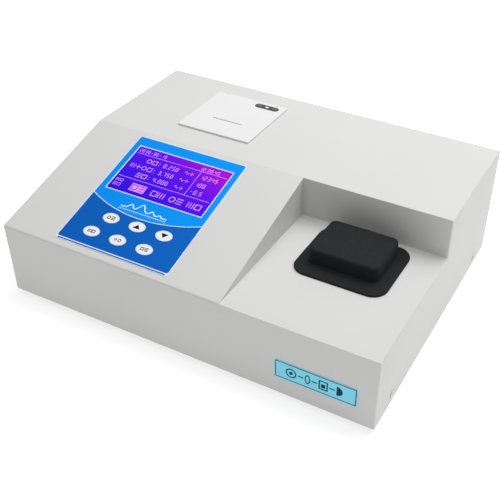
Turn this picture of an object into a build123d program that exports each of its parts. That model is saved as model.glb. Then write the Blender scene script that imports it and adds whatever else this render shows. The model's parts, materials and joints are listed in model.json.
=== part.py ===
from build123d import *

import os
from math import acos, atan2, cos, hypot, pi, radians, sin, tan

# Bench ultraviolet oil content analyzer, in millimetres. The origin is on the surface that the feet
# stand on, under the middle of the instrument. +X is to the operator's right, +Y to the back, +Z up.
# Places are given from the case's left side (x), its front face (y) and its lower edge (z).

os.makedirs("parts", exist_ok=True)

# Case
case_width = 470.0
case_depth = 360.0
case_height = 142.0
front_height = 92.0
crease_y = 188.0
deck_width = 179.5
sheet = 1.5
bend = 2.5
corner_radius = 2.0
panel_gap = 0.3
tray_lip = 22.0
rear_lip = 12.0
foot_height = 8.0
foot_radius = 12.0
foot_inset = 38.0
stem_radius = 4.0
stem_head = 1.2

# Screws that hold the case together
screw_radius = 2.0
screw_clearance = 0.1
screw_head_radius = 4.6
screw_head_height = 2.3
screw_length = 9.0
cross_length = 4.2
cross_width = 1.0
cross_depth = 1.1
side_screw_z = 11.0
side_screw_inset = 45.0
rear_screw_inset = 14.0
rear_screw_low_z = 12.0

# Membrane panel on the slope, with s measured up the slope from the front edge
overlay_width = 151.0
overlay_length = 177.6
overlay_low_s = 9.4
overlay_thickness = 0.6
overlay_corner = 3.0
window_width = 131.4
window_length = 74.0
window_low_s = 96.9
glass_step = 0.1
glass_thickness = 5.0
display_frame = 4.0
board_thickness = 1.6
display_board_width = 148.0
display_board_length = 96.0
post_radius = 3.0

# Oval keys, with x measured from the middle of the panel
key_half_width = 10.3
key_half_length = 7.0
key_pitch = 36.0
key_upper_left_x = -30.3
key_lower_left_x = -40.1
key_upper_s = 56.6
key_lower_s = 31.6
key_proud = 0.35
key_gap = 0.25
key_travel = 0.5
key_flange = 1.6
key_flange_thickness = 1.0
key_flange_gap = 0.2
key_board_length = 62.0
switch_side = 6.0
switch_height = 4.0
switch_gap = 0.3

# Printer
printer_shift = 2.5
lid_width = 102.0
lid_length = 104.0
lid_thickness = 2.25
lid_gap = 0.15
lid_skirt = 1.5
lid_hollow = 1.0
lid_corner = 2.0
tub_opening_width = 95.0
tub_opening_length = 96.0
tub_shift = 0.5
tub_wall = 1.2
tub_depth = 54.0
tub_rim = 1.6
tub_rim_thickness = 0.8
hinge_spread = 38.0
hinge_lug_width = 4.0
hinge_pin_radius = 0.5
running_gap = 0.05
paper_slot_length = 42.0
paper_slot_width = 1.4
paper_slot_ahead = 16.9
paper_width = 44.0
roll_radius = 18.0
spindle_radius = 5.5
neck_radius = 2.5
roll_behind = 20.5
roll_drop = 30.0
bay_width = 47.2
bay_wall = 1.8
platen_radius = 5.0
shaft_radius = 2.0
platen_drop = 12.0
nip = 0.3
head_depth = 8.0
head_height = 20.0
gear_width = 4.0
gear_stand_off = 0.6
tooth_module = 0.75
pressure_angle = radians(20)
backlash = 0.16
platen_teeth = 20
idler_teeth = 24
pinion_teeth = 12
idler_bearing = -110.0
pinion_bearing = -60.0
idler_pin_radius = 1.5
motor_radius = 10.0
motor_length = 14.0
motor_shaft_radius = 1.0

# Key plate in the printer's lid
plate_right = 26.3
plate_behind = 40.1
plate_length = 33.8
plate_width = 10.0
plate_proud = 0.3
plate_skin = 1.2
plate_flange = 0.6
plate_flange_thickness = 0.8
small_key_length = 7.4
small_key_width = 5.2
small_key_spread = 10.6
small_key_gap = 0.1
small_key_lip = 0.8
small_key_lip_thickness = 0.9
small_key_proud = 0.3
small_key_travel = 0.4
small_board_thickness = 0.8
small_switch_height = 0.5
small_switch_radius = 1.5
small_switch_gap = 0.1
lamp_length = 4.4
lamp_width = 2.6

# Black cover over the cuvette well
cover_left = 1.25
cover_y = 137.3
cover_width = 83.5
cover_length = 66.5
cover_height = 21.0
cover_corner = 9.0
cover_draft = 2.5
cover_top_radius = 3.5
cover_foot_radius = 1.2
cover_wall = 2.4
flange_width = 108.6
flange_length = 95.0
flange_ahead = 5.4
flange_thickness = 2.6
flange_corner = 18.0
flange_edge = 0.8

# Cuvette well, with its slot for a 20 mm cell
well_width = 44.0
well_length = 30.0
well_opening_width = 60.0
well_opening_length = 42.0
well_plate_margin = 8.0
well_plate_thickness = 3.0
well_corner = 3.0
cell_width = 22.8
cell_length = 12.8
cell_depth = 45.0
finger_width = 16.0
finger_length = 24.0
finger_depth = 14.0
beam_above_cell_foot = 15.0
beam_radius = 4.0

# Optical bench under the deck and the top
bench_thickness = 6.0
bench_stand_off = 4.5
bench_margin = 6.0
bench_post_radius = 7.0
box_width = 118.0
box_length = 149.0
box_wall = 4.0
box_headroom = 4.5
box_lid_thickness = 2.0
box_to_well = 27.0
slit_width = 1.0
slit_height = 8.0
slit_skin = 1.0
slit_relief = 2.0
entry_inset = 50.0
mirror_side = 30.0
mirror_thickness = 6.0
mirror_post_radius = 5.0
first_mirror_inset = 18.0
second_mirror_inset = 16.0
grating_inset_x = 27.0
grating_inset_y = 35.0
grating_side = 25.0
grating_thickness = 6.0
table_radius = 16.0
table_thickness = 5.0
table_lift = 8.0
pivot_radius = 3.0
pivot_shoulder = 3.0
arm_length = 70.0
arm_width = 8.0
arm_tip_radius = 3.0
arm_swing = 4.5
contact_gap = 0.3
stepper_side = 28.0
stepper_length = 20.0
plunger_radius = 2.5
plunger_head_radius = 3.0
plunger_head_length = 4.0
plunger_hold = 2.5
lamp_house_width = 56.0
lamp_house_length = 78.0
lamp_house_height = 95.0
lamp_house_wall = 3.0
lamp_house_corner = 4.0
lamp_to_fan = 22.5
lamp_slot_length = 36.0
lamp_slot_width = 4.0
lamp_slot_pitch = 10.0
lamp_slot_rows = 5
lamp_vent_length = 44.0
lamp_vent_width = 5.0
lamp_vent_pitch = 12.0
lamp_vent_rows = 4
snout_radius = 13.0
lens_radius = 10.0
lens_thickness = 5.0
lens_sag = 1.2
bulb_radius = 14.0
bulb_height = 50.0
lamp_base_radius = 18.0
lamp_base_height = 6.0
lamp_collar_radius = 11.0
lamp_collar_height = 16.0
detector_width = 34.0
detector_length = 28.0
detector_over_beam = 14.0
diode_radius = 7.0
diode_thickness = 4.0

# Electrics
main_board_left = 12.0
main_board_front = 44.0
main_board_width = 96.0
main_board_length = 150.0
main_board_post_inset = 5.0
processor_side = 24.0
processor_height = 2.5
memory_spread = 50.0
memory_width = 10.0
memory_length = 30.0
header_pitch = 28.0
header_width = 22.0
header_length = 8.0
header_inset = 8.0
header_height = 9.0
main_board_stand_off = 8.0
supply_inset_right = 50.0
supply_inset_back = 30.0
supply_width = 98.0
supply_length = 80.0
supply_height = 36.0
supply_step = 12.0
supply_vent_length = 60.0
supply_vent_width = 4.0
supply_vent_pitch = 9.0
supply_vent_rows = 6
supply_vent_depth = 1.0
louvre_length = 36.0
louvre_width = 3.0
louvre_pitch = 7.0
louvre_rows = 5
louvre_columns = 44.0
louvre_drop = 42.0
inlet_inset = 58.0
inlet_z = 50.0
inlet_flange_width = 50.0
inlet_flange_height = 38.0
inlet_flange_thickness = 2.5
inlet_ear = 20.0
inlet_body_width = 28.0
inlet_body_height = 33.0
inlet_body_depth = 22.0
socket_width = 24.4
socket_height = 16.4
socket_depth = 16.5
socket_chamfer = 5.0
socket_rise = 6.5
blade_length = 13.0
blade_width = 4.0
blade_thickness = 2.0
blade_spread = 7.0
blade_offset = 2.0
drawer_width = 22.0
drawer_height = 8.0
drawer_depth = 17.0
drawer_drop = 10.5
drawer_gap = 0.2
drawer_lip = 1.2
fuse_radius = 2.6
fuse_length = 20.0
switch_to_inlet = 50.0
switch_z = 50.0
switch_flange_width = 15.0
switch_flange_height = 21.0
switch_flange_thickness = 2.0
switch_body_width = 12.6
switch_body_height = 19.0
switch_body_depth = 16.0
rocker_width = 9.6
rocker_half_height = 6.4
rocker_gap = 0.35
rocker_proud = 2.6
rocker_dip = 1.3
rocker_swing = 7.0
rocker_depth = 4.0
rocker_foot = 2.5
rocker_pin_radius = 1.0
pivot_drop = 1.0
switch_pocket = 3.0
fan_z = 74.0
fan_side = 60.0
fan_depth = 20.0
fan_bore = 28.5
fan_hole_spread = 25.0
fan_hub_radius = 12.5
fan_strut = 3.0
fan_pin_radius = 2.0
fan_pin_length = 10.0
fan_run_gap = 0.7
fan_tip_gap = 0.8
fan_blades = 7
fan_blade_thickness = 1.4
fan_blade_pitch = 38.0
guard_thickness = 2.0
guard_width = 1.8
guard_eye = 2.4
guard_hub_radius = 4.0
guard_rings = (27.0, 21.5, 16.0, 10.5)
port_x = 96.0
port_z = 44.0
port_width = 17.0
port_height = 8.4
port_reach = 6.0
port_shell = 0.8
port_flange_width = 31.0
port_flange_height = 12.6
port_screw_spread = 12.5
port_pin_radius = 0.5
port_pin_pitch = 2.77

# Air slots in the floor
air_slot_length = 50.0
air_slot_width = 3.0
air_slot_pitch = 8.0
air_slot_rows = 5
air_slot_ahead = 25.0
air_slot_left = 88.0

# Nameplate on the front
nameplate_inset = 67.2
nameplate_z = 34.7
nameplate_width = 93.0
nameplate_height = 24.0
nameplate_thickness = 0.5

# The panel and the printer stand in the middle of the left part, the cuvette well in the deck
deck_left = case_width - deck_width
window_x = deck_left / 2
printer_x = deck_left / 2
printer_y = (crease_y + case_depth) / 2 + printer_shift
paper_slot_y = printer_y - paper_slot_ahead
roll_y = printer_y + roll_behind
plate_x = printer_x + plate_right
plate_y = printer_y + plate_behind
cover_x = deck_left + deck_width / 2 - cover_left
flange_x = deck_left + deck_width / 2
flange_y = cover_y - flange_ahead
flange_left = flange_x - flange_width / 2
flange_right = flange_x + flange_width / 2

# The light path runs from the lamp, ahead of the fan, through the box to the well
bench_floor = sheet + bench_stand_off
bench_top = bench_floor + bench_thickness
box_right = cover_x - well_width / 2 - box_to_well
box_left = box_right - box_width
lamp_house_back = case_depth - sheet - fan_depth - lamp_to_fan
lamp_house_front = lamp_house_back - lamp_house_length
box_back = lamp_house_front - snout_radius
box_front = box_back - box_length
box_height = front_height - sheet - box_headroom - box_lid_thickness - bench_top
entry_x = box_left + entry_inset
first_mirror_y = box_front + first_mirror_inset
second_mirror_x = box_left + second_mirror_inset
grating_x = box_right - grating_inset_x
grating_y = box_back - grating_inset_y
fan_x = entry_x

# Electrics stand by the right side and the back
supply_left = case_width - supply_inset_right - supply_width
supply_front = case_depth - supply_inset_back - supply_length
supply_x = supply_left + supply_width / 2
supply_y = supply_front + supply_length / 2
inlet_x = case_width - inlet_inset
switch_x = inlet_x - switch_to_inlet
nameplate_x = case_width - nameplate_inset

# The instrument's box, from the nameplate's face to the serial port's rim, is centred on the origin
front_y = -(case_depth + port_reach - nameplate_thickness) / 2
left_x = -case_width / 2

slope_angle = atan2(case_height - front_height, crease_y)
slope_up = (0, cos(slope_angle), sin(slope_angle))
slope_normal = (0, -sin(slope_angle), cos(slope_angle))


def place(x, y, z):
    """Point given from the case's left side, front face and lower edge."""
    return Vector(left_x + x, front_y + y, foot_height + z)


def level(z, x=0, y=0):
    """Horizontal plane facing up."""
    return Plane(origin=place(x, y, z), x_dir=(1, 0, 0), z_dir=(0, 0, 1))


def facing_right(x, y=0, z=0):
    """Upright plane facing +X, with its own x towards the back and its own y up."""
    return Plane(origin=place(x, y, z), x_dir=(0, 1, 0), z_dir=(1, 0, 0))


def facing_back(y, x=0, z=0):
    """Upright plane facing +Y, with its own y up."""
    return Plane(origin=place(x, y, z), x_dir=(-1, 0, 0), z_dir=(0, 1, 0))


def facing_front(y, x=0, z=0):
    """Upright plane facing -Y, with its own x to the right and its own y up."""
    return Plane(origin=place(x, y, z), x_dir=(1, 0, 0), z_dir=(0, -1, 0))


def on_slope(x, s, lift=0):
    """Plane on the sloping panel, s up from its front edge, lifted along its normal."""
    foot = place(x, 0, front_height)
    origin = foot + Vector(*slope_up) * s + Vector(*slope_normal) * lift
    return Plane(origin=origin, x_dir=(1, 0, 0), z_dir=slope_normal)


def save(piece, name):
    piece.part.label = name
    export_step(piece.part, f"parts/{name}.step")


# Places that several pieces share
window_s = window_low_s + window_length / 2
overlay_s = overlay_low_s + overlay_length / 2
key_places = {
    "key_upper_left": (window_x + key_upper_left_x, key_upper_s),
    "key_upper_middle": (window_x + key_upper_left_x + key_pitch, key_upper_s),
    "key_upper_right": (window_x + key_upper_left_x + 2 * key_pitch, key_upper_s),
    "key_lower_left": (window_x + key_lower_left_x, key_lower_s),
    "key_lower_middle": (window_x + key_lower_left_x + key_pitch, key_lower_s),
    "key_lower_right": (window_x + key_lower_left_x + 2 * key_pitch, key_lower_s),
}
side_screw_places = [
    (y, side_screw_z) for y in (side_screw_inset, case_depth - side_screw_inset)
]
rear_screw_low = [
    (x, rear_screw_low_z)
    for x in (rear_screw_inset, case_width / 2, case_width - rear_screw_inset)
]
rear_screw_high = [(x, case_height - sheet - rear_lip / 2) for x, _ in rear_screw_low]
foot_places = {
    "foot_front_left": (foot_inset, foot_inset),
    "foot_front_right": (case_width - foot_inset, foot_inset),
    "foot_back_left": (foot_inset, case_depth - foot_inset),
    "foot_back_right": (case_width - foot_inset, case_depth - foot_inset),
}
fan_corners = [
    (fan_x + i * fan_hole_spread, fan_z + j * fan_hole_spread)
    for i in (-1, 1)
    for j in (-1, 1)
]
inlet_ears = [inlet_x - inlet_ear, inlet_x + inlet_ear]


# Painted top cover: front, slope, top, sides and the welded cut-out for the sample deck


def case_outline(x, deck, inset, overrun):
    """Case seen from the side, through the deck or through the slope, drawn inside its surface."""
    points = [(0, -overrun), (0, front_height)]
    if deck:
        points.append((crease_y, front_height))
    points.append((crease_y, case_height))
    points.append((case_depth + overrun, case_height))
    points.append((case_depth + overrun, -overrun))
    with BuildSketch(facing_right(x)) as outline:
        with BuildLine():
            Polyline(*points, close=True)
        make_face()
        if inset:
            offset(amount=-inset, kind=Kind.INTERSECTION)
        corners = outline.vertices().filter_by(
            lambda v: v.Y > front_height / 2 and v.X < crease_y + 2 * sheet
        )
        if deck:
            hollow = corners.filter_by(
                lambda v: v.X > crease_y / 2 and v.Y < front_height + sheet
            )
            corners = corners - hollow
            fillet(hollow, radius=bend - sheet + inset)
        fillet(corners, radius=bend - inset)
    return outline.sketch


with BuildPart() as top_cover:
    extrude(case_outline(0, False, 0, 0), amount=deck_left)
    extrude(case_outline(deck_left, True, 0, 0), amount=case_width - deck_left)
    for side in (0, -1):
        rim = top_cover.faces().filter_by(Axis.X).sort_by(Axis.X)[side].edges()
        rim = rim.filter_by(
            lambda e: (
                e.center().Z > foot_height + 1
                and e.center().Y < front_y + case_depth - 1
            )
        )
        fillet(rim, radius=corner_radius)
    extrude(
        case_outline(sheet, False, sheet, tray_lip),
        amount=deck_left - 2 * sheet,
        mode=Mode.SUBTRACT,
    )
    extrude(
        case_outline(deck_left - sheet, True, sheet, tray_lip),
        amount=case_width - deck_left,
        mode=Mode.SUBTRACT,
    )
    # Lip turned down behind the rear panel
    lip_y = case_depth - 2 * sheet - panel_gap
    with BuildSketch(level(case_height - sheet - rear_lip, 0, lip_y)):
        with Locations((case_width / 2, sheet / 2)):
            Rectangle(case_width - 2 * sheet, sheet)
    extrude(amount=rear_lip)
    # Display window and key holes in the slope
    with BuildSketch(on_slope(window_x, window_s, -sheet)):
        Rectangle(window_width + 2, window_length + 2)
    extrude(amount=2 * sheet, mode=Mode.SUBTRACT)
    for key_x, key_s in key_places.values():
        with BuildSketch(on_slope(key_x, key_s, -2 * sheet)):
            Ellipse(key_half_width + key_gap, key_half_length + key_gap)
        extrude(amount=3 * sheet, mode=Mode.SUBTRACT)
    # Printer opening in the top
    with BuildSketch(level(case_height - 2 * sheet, printer_x, printer_y - tub_shift)):
        Rectangle(tub_opening_width, tub_opening_length)
    extrude(amount=3 * sheet, mode=Mode.SUBTRACT)
    # Opening in the deck over the cuvette well
    with BuildSketch(level(front_height - 2 * sheet, cover_x, cover_y)):
        RectangleRounded(well_opening_width, well_opening_length, well_corner)
    extrude(amount=3 * sheet, mode=Mode.SUBTRACT)
    # Side screws and the screws of the rear lip
    with BuildSketch(facing_right(-1)):
        with Locations(*side_screw_places):
            Circle(screw_radius + screw_clearance)
    extrude(amount=case_width + 2, mode=Mode.SUBTRACT)
    with BuildSketch(facing_front(case_depth)):
        with Locations(*rear_screw_high):
            Circle(screw_radius + screw_clearance)
    extrude(amount=3 * sheet + panel_gap, mode=Mode.SUBTRACT)
save(top_cover, "top_cover")


# Floor tray with its upturned edges

tray_width = case_width - 2 * sheet - 2 * panel_gap
tray_length = case_depth - 2 * sheet - 2 * panel_gap
tray_back = case_depth - sheet - panel_gap
air_slot_places = (
    (supply_x, supply_front - air_slot_ahead),
    (entry_x - air_slot_left, lamp_house_back - air_slot_ahead),
)
with BuildPart() as base_tray:
    with BuildSketch(level(0, case_width / 2, tray_back - tray_length / 2)):
        RectangleRounded(tray_width, tray_length, bend)
    extrude(amount=tray_lip)
    with BuildSketch(level(sheet, case_width / 2, tray_back - tray_length / 2)):
        RectangleRounded(tray_width - 2 * sheet, tray_length - 2 * sheet, bend - sheet)
    extrude(amount=tray_lip, mode=Mode.SUBTRACT)
    with BuildSketch(level(0)):
        with Locations(*foot_places.values()):
            Circle(stem_radius + screw_clearance)
        # Air slots in front of the power supply and beside the lamp
        with Locations(*air_slot_places):
            with GridLocations(0, air_slot_pitch, 1, air_slot_rows):
                SlotOverall(air_slot_length, air_slot_width)
    extrude(amount=sheet, mode=Mode.SUBTRACT)
    with BuildSketch(facing_right(0)):
        with Locations(*side_screw_places):
            Circle(screw_radius + screw_clearance)
    extrude(amount=case_width, mode=Mode.SUBTRACT)
    with BuildSketch(facing_front(case_depth)):
        with Locations(*rear_screw_low):
            Circle(screw_radius + screw_clearance)
    extrude(amount=3 * sheet + panel_gap, mode=Mode.SUBTRACT)
save(base_tray, "base_tray")


# Rear panel with its cut-outs

panel_top = case_height - sheet - panel_gap
with BuildPart() as rear_panel:
    with BuildSketch(facing_front(case_depth)):
        with Locations((case_width / 2, panel_top / 2)):
            Rectangle(case_width - 2 * sheet - 2 * panel_gap, panel_top)
        with Locations(*rear_screw_low, *rear_screw_high, *fan_corners):
            Circle(screw_radius + screw_clearance, mode=Mode.SUBTRACT)
        with Locations((fan_x, fan_z)):
            Circle(fan_bore, mode=Mode.SUBTRACT)
        with Locations((inlet_x, inlet_z)):
            Rectangle(
                inlet_body_width + 2 * panel_gap,
                inlet_body_height + 2 * panel_gap,
                mode=Mode.SUBTRACT,
            )
        with Locations(*[(ear, inlet_z) for ear in inlet_ears]):
            Circle(screw_radius + screw_clearance, mode=Mode.SUBTRACT)
        with Locations((switch_x, switch_z)):
            Rectangle(
                switch_body_width + 2 * panel_gap,
                switch_body_height + 2 * panel_gap,
                mode=Mode.SUBTRACT,
            )
        with Locations((port_x, port_z)):
            Rectangle(
                port_width + 2 * panel_gap,
                port_height + 2 * panel_gap,
                mode=Mode.SUBTRACT,
            )
            with GridLocations(2 * port_screw_spread, 0, 2, 1):
                Circle(screw_radius, mode=Mode.SUBTRACT)
        # Louvres over the power supply
        with Locations((supply_x, case_height - louvre_drop)):
            with GridLocations(louvre_columns, louvre_pitch, 2, louvre_rows):
                SlotOverall(louvre_length, louvre_width, mode=Mode.SUBTRACT)
    extrude(amount=sheet)
save(rear_panel, "rear_panel")


# Screws of the case: on both sides, along the rear panel's foot and top, and at the fan and inlet


def pan_screw(plane):
    """Cross-recessed pan-head screw whose head seats on the plane and faces along it."""
    with BuildPart() as screw:
        with BuildSketch(plane):
            Circle(screw_head_radius)
        extrude(amount=screw_head_height)
        chamfer(
            screw.faces().sort_by(Axis(plane.origin, plane.z_dir))[-1].edges(),
            length=screw_head_height / 2,
        )
        with BuildSketch(plane.offset(screw_head_height - cross_depth)):
            Rectangle(cross_length, cross_width)
            Rectangle(cross_width, cross_length)
        extrude(amount=cross_depth, mode=Mode.SUBTRACT)
        with BuildSketch(plane):
            Circle(screw_radius)
        extrude(amount=-screw_length)
    return screw.part


with BuildPart() as case_screws:
    for screw_y, screw_z in side_screw_places:
        add(pan_screw(facing_right(case_width, screw_y, screw_z)))
        add(pan_screw(-facing_right(0, screw_y, screw_z)))
    for screw_x, screw_z in rear_screw_low + rear_screw_high:
        add(pan_screw(facing_back(case_depth, screw_x, screw_z)))
    for screw_x, screw_z in fan_corners:
        add(pan_screw(facing_back(case_depth + guard_thickness, screw_x, screw_z)))
    for screw_x in inlet_ears:
        add(pan_screw(facing_back(case_depth + inlet_flange_thickness, screw_x, inlet_z)))
save(case_screws, "case_screws")


# Rubber feet that snap into the tray

for foot_name, (foot_x, foot_y) in foot_places.items():
    with BuildPart() as foot:
        with BuildSketch(facing_right(foot_x, foot_y)):
            with BuildLine():
                Polyline(
                    (0, -foot_height),
                    (foot_radius - 1.5, -foot_height),
                    (foot_radius, -foot_height / 3),
                    (foot_radius, 0),
                    (stem_radius, 0),
                    (stem_radius, sheet),
                    (stem_radius + 1, sheet),
                    (stem_radius - 0.6, sheet + stem_head * 2),
                    (0, sheet + stem_head * 2),
                    close=True,
                )
            make_face()
        revolve(axis=Axis(place(foot_x, foot_y, 0), (0, 0, 1)))
    save(foot, foot_name)


# Nameplate on the front

with BuildPart() as nameplate:
    with BuildSketch(facing_front(0, nameplate_x, nameplate_z)):
        RectangleRounded(nameplate_width, nameplate_height, 1)
    extrude(amount=nameplate_thickness)
save(nameplate, "nameplate")


# Membrane sheet over the slope, with its window and six oval holes

with BuildPart() as keypad_overlay:
    with BuildSketch(on_slope(window_x, overlay_s)):
        RectangleRounded(overlay_width, overlay_length, overlay_corner)
        with Locations((0, window_s - overlay_s)):
            Rectangle(window_width, window_length, mode=Mode.SUBTRACT)
        with Locations(*[(x - window_x, s - overlay_s) for x, s in key_places.values()]):
            Ellipse(
                key_half_width + key_gap, key_half_length + key_gap, mode=Mode.SUBTRACT
            )
    extrude(amount=overlay_thickness)
save(keypad_overlay, "keypad_overlay")


# Six oval keys, each held under the panel by its own flange

key_top = overlay_thickness + key_proud
flange_top = -sheet - key_flange_gap
flange_bottom = flange_top - key_flange_thickness
for key_name, (key_x, key_s) in key_places.items():
    with BuildPart() as key:
        with BuildSketch(on_slope(key_x, key_s, flange_bottom)):
            Ellipse(key_half_width + key_flange, key_half_length + key_flange)
        extrude(amount=key_flange_thickness)
        with BuildSketch(on_slope(key_x, key_s, flange_top)):
            Ellipse(key_half_width, key_half_length)
        extrude(amount=key_top - flange_top)
        crown = key.faces().sort_by(Axis(place(key_x, 0, 0), slope_normal))[-1]
        chamfer(crown.edges(), length=key_proud * 0.8)
    save(key, key_name)


# Key board with a switch under each key, hung from the slope on four posts

switch_top = flange_bottom - key_travel - switch_gap
key_board_top = switch_top - switch_height
key_board_s = (key_upper_s + key_lower_s) / 2
with BuildPart() as key_board:
    with BuildSketch(on_slope(window_x, key_board_s, key_board_top - board_thickness)):
        Rectangle(display_board_width, key_board_length)
    extrude(amount=board_thickness)
    with BuildSketch(on_slope(window_x, key_board_s, key_board_top)):
        spread = (display_board_width - 4 * post_radius, key_board_length - 4 * post_radius)
        with GridLocations(spread[0], spread[1], 2, 2):
            Circle(post_radius)
    extrude(amount=-sheet - key_board_top)
    for key_x, key_s in key_places.values():
        with BuildSketch(on_slope(key_x, key_s, key_board_top)):
            Rectangle(switch_side, switch_side)
        extrude(amount=switch_height * 0.8)
        with BuildSketch(on_slope(key_x, key_s, key_board_top)):
            Circle(switch_side / 4)
        extrude(amount=switch_height)
save(key_board, "key_board")


# Display: glass behind the window, and its board hung from the slope on four posts

with BuildPart() as display_glass:
    with BuildSketch(on_slope(window_x, window_s, -glass_step - glass_thickness)):
        Rectangle(window_width + 2 - 2 * panel_gap, window_length + 2 - 2 * panel_gap)
    extrude(amount=glass_thickness)
save(display_glass, "display_glass")

display_board_top = -glass_step - glass_thickness
with BuildPart() as display_board:
    with BuildSketch(on_slope(window_x, window_s, display_board_top - board_thickness)):
        Rectangle(display_board_width, display_board_length)
    extrude(amount=board_thickness)
    with BuildSketch(on_slope(window_x, window_s, display_board_top)):
        with GridLocations(
            display_board_width - 2 * display_frame,
            display_board_length - 2 * display_frame,
            2,
            2,
        ):
            Circle(post_radius)
    extrude(amount=-sheet - display_board_top)
    # Controller chips on the back
    with BuildSketch(on_slope(window_x, window_s, display_board_top - board_thickness)):
        with GridLocations(44, 0, 3, 1):
            Rectangle(22, 16)
    extrude(amount=-3)
save(display_board, "display_board")


# Panel printer: tub hung in the top, with hinge lugs for its lid behind

lid_low = case_height + lid_gap
lid_top = lid_low + lid_thickness
barrel_radius = lid_thickness / 2
hinge_y = printer_y + lid_length / 2 - barrel_radius
hinge_z = lid_low + barrel_radius
hinge_places = (printer_x - hinge_spread, printer_x + hinge_spread)
tub_width = tub_opening_width - 2 * panel_gap
tub_length = tub_opening_length - 2 * panel_gap
tub_floor = case_height - tub_depth
tub_y = printer_y - tub_shift
bay_left = printer_x - bay_width / 2
bay_right = printer_x + bay_width / 2
roll_z = case_height - roll_drop
platen_y = paper_slot_y + nip + platen_radius
platen_z = case_height - platen_drop
partition_top = case_height - platen_drop / 2
gear_x = bay_right + bay_wall + gear_stand_off
platen_pitch = tooth_module * platen_teeth / 2
idler_pitch = tooth_module * idler_teeth / 2
pinion_pitch = tooth_module * pinion_teeth / 2
idler_y = platen_y + (platen_pitch + idler_pitch) * cos(radians(idler_bearing))
idler_z = platen_z + (platen_pitch + idler_pitch) * sin(radians(idler_bearing))
pinion_y = idler_y + (idler_pitch + pinion_pitch) * cos(radians(pinion_bearing))
pinion_z = idler_z + (idler_pitch + pinion_pitch) * sin(radians(pinion_bearing))
with BuildPart() as printer_tub:
    with BuildSketch(level(tub_floor, printer_x, tub_y)):
        Rectangle(tub_width, tub_length)
    extrude(amount=tub_depth + tub_rim_thickness)
    with BuildSketch(level(case_height, printer_x, tub_y)):
        Rectangle(tub_opening_width + 2 * tub_rim, tub_opening_length + 2 * tub_rim)
    extrude(amount=tub_rim_thickness)
    with BuildSketch(level(tub_floor + tub_wall, printer_x, tub_y)):
        Rectangle(tub_width - 2 * tub_wall, tub_length - 2 * tub_wall)
    extrude(amount=tub_depth + tub_rim_thickness, mode=Mode.SUBTRACT)
    # Partitions each side of the paper bay
    for partition_x in (bay_left - bay_wall, bay_right):
        with BuildSketch(level(tub_floor, partition_x + bay_wall / 2, tub_y)):
            Rectangle(bay_wall, tub_length - tub_wall)
        extrude(amount=partition_top - tub_floor)
    with BuildSketch(facing_right(bay_left - bay_wall)):
        with Locations((platen_y, platen_z)):
            Circle(shaft_radius + running_gap)
        # Open slots that the spindle drops into
        with Locations((roll_y, roll_z)):
            Circle(neck_radius + running_gap)
        with Locations((roll_y, (roll_z + case_height) / 2)):
            Rectangle(2 * (neck_radius + running_gap), case_height - roll_z)
    extrude(amount=bay_width + 2 * bay_wall, mode=Mode.SUBTRACT)
    # Pin for the idler gear
    with BuildSketch(facing_right(bay_right + bay_wall / 2, idler_y, idler_z)):
        Circle(idler_pin_radius)
    extrude(amount=bay_wall / 2 + gear_stand_off + gear_width + 1)
    # Lugs of the lid's hinge
    for lug_x in hinge_places:
        with BuildSketch(facing_right(lug_x - hinge_lug_width / 2, hinge_y, hinge_z)):
            Circle(barrel_radius)
            with Locations((-1.5 * tub_rim, -hinge_z + case_height + tub_rim_thickness / 2)):
                Rectangle(3 * tub_rim, tub_rim_thickness)
            with Locations((0, -barrel_radius / 2)):
                Rectangle(barrel_radius, barrel_radius)
            Circle(hinge_pin_radius + running_gap, mode=Mode.SUBTRACT)
        extrude(amount=hinge_lug_width)
save(printer_tub, "printer_tub")


# White lid of the printer, hinged along its rear edge

lid_front_y = printer_y - lid_length / 2
with BuildPart() as printer_lid:
    with BuildSketch(facing_right(printer_x - lid_width / 2)):
        with Locations(((lid_front_y + hinge_y) / 2, hinge_z)):
            Rectangle(hinge_y - lid_front_y, lid_thickness)
        with Locations((hinge_y, hinge_z)):
            Circle(barrel_radius)
    extrude(amount=lid_width)
    front_corners = printer_lid.edges().filter_by(Axis.Z).group_by(Axis.Y)[0]
    fillet(front_corners, radius=lid_corner)
    # Hollow that clears the tub's rim
    hollow_front = lid_front_y + lid_skirt
    hollow_back = hinge_y - barrel_radius - panel_gap
    with BuildSketch(level(lid_low, printer_x, (hollow_front + hollow_back) / 2)):
        Rectangle(lid_width - 2 * lid_skirt, hollow_back - hollow_front)
    extrude(amount=lid_hollow, mode=Mode.SUBTRACT)
    # Notches for the hinge lugs, each bridged by its pin
    for lug_x in hinge_places:
        notch_width = hinge_lug_width + 2 * panel_gap
        notch_depth = 2 * barrel_radius + 2 * panel_gap
        with BuildSketch(level(lid_low - 1, lug_x, hinge_y + barrel_radius)):
            Rectangle(notch_width, 2 * notch_depth)
        extrude(amount=lid_thickness + 2, mode=Mode.SUBTRACT)
        with BuildSketch(facing_right(lug_x - notch_width / 2 - 0.5, hinge_y, hinge_z)):
            Circle(hinge_pin_radius)
        extrude(amount=notch_width + 1)
    # Paper slot, and the hole for the key plate
    with BuildSketch(level(lid_low - 1, printer_x, paper_slot_y)):
        SlotOverall(paper_slot_length, paper_slot_width)
    extrude(amount=lid_thickness + 2, mode=Mode.SUBTRACT)
    with BuildSketch(level(lid_low - 1, plate_x, plate_y)):
        SlotOverall(plate_length + 2 * small_key_gap, plate_width + 2 * small_key_gap)
    extrude(amount=lid_thickness + 2, mode=Mode.SUBTRACT)
save(printer_lid, "printer_lid")


# Key plate of the printer, with two small keys and a lamp between them

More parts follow.
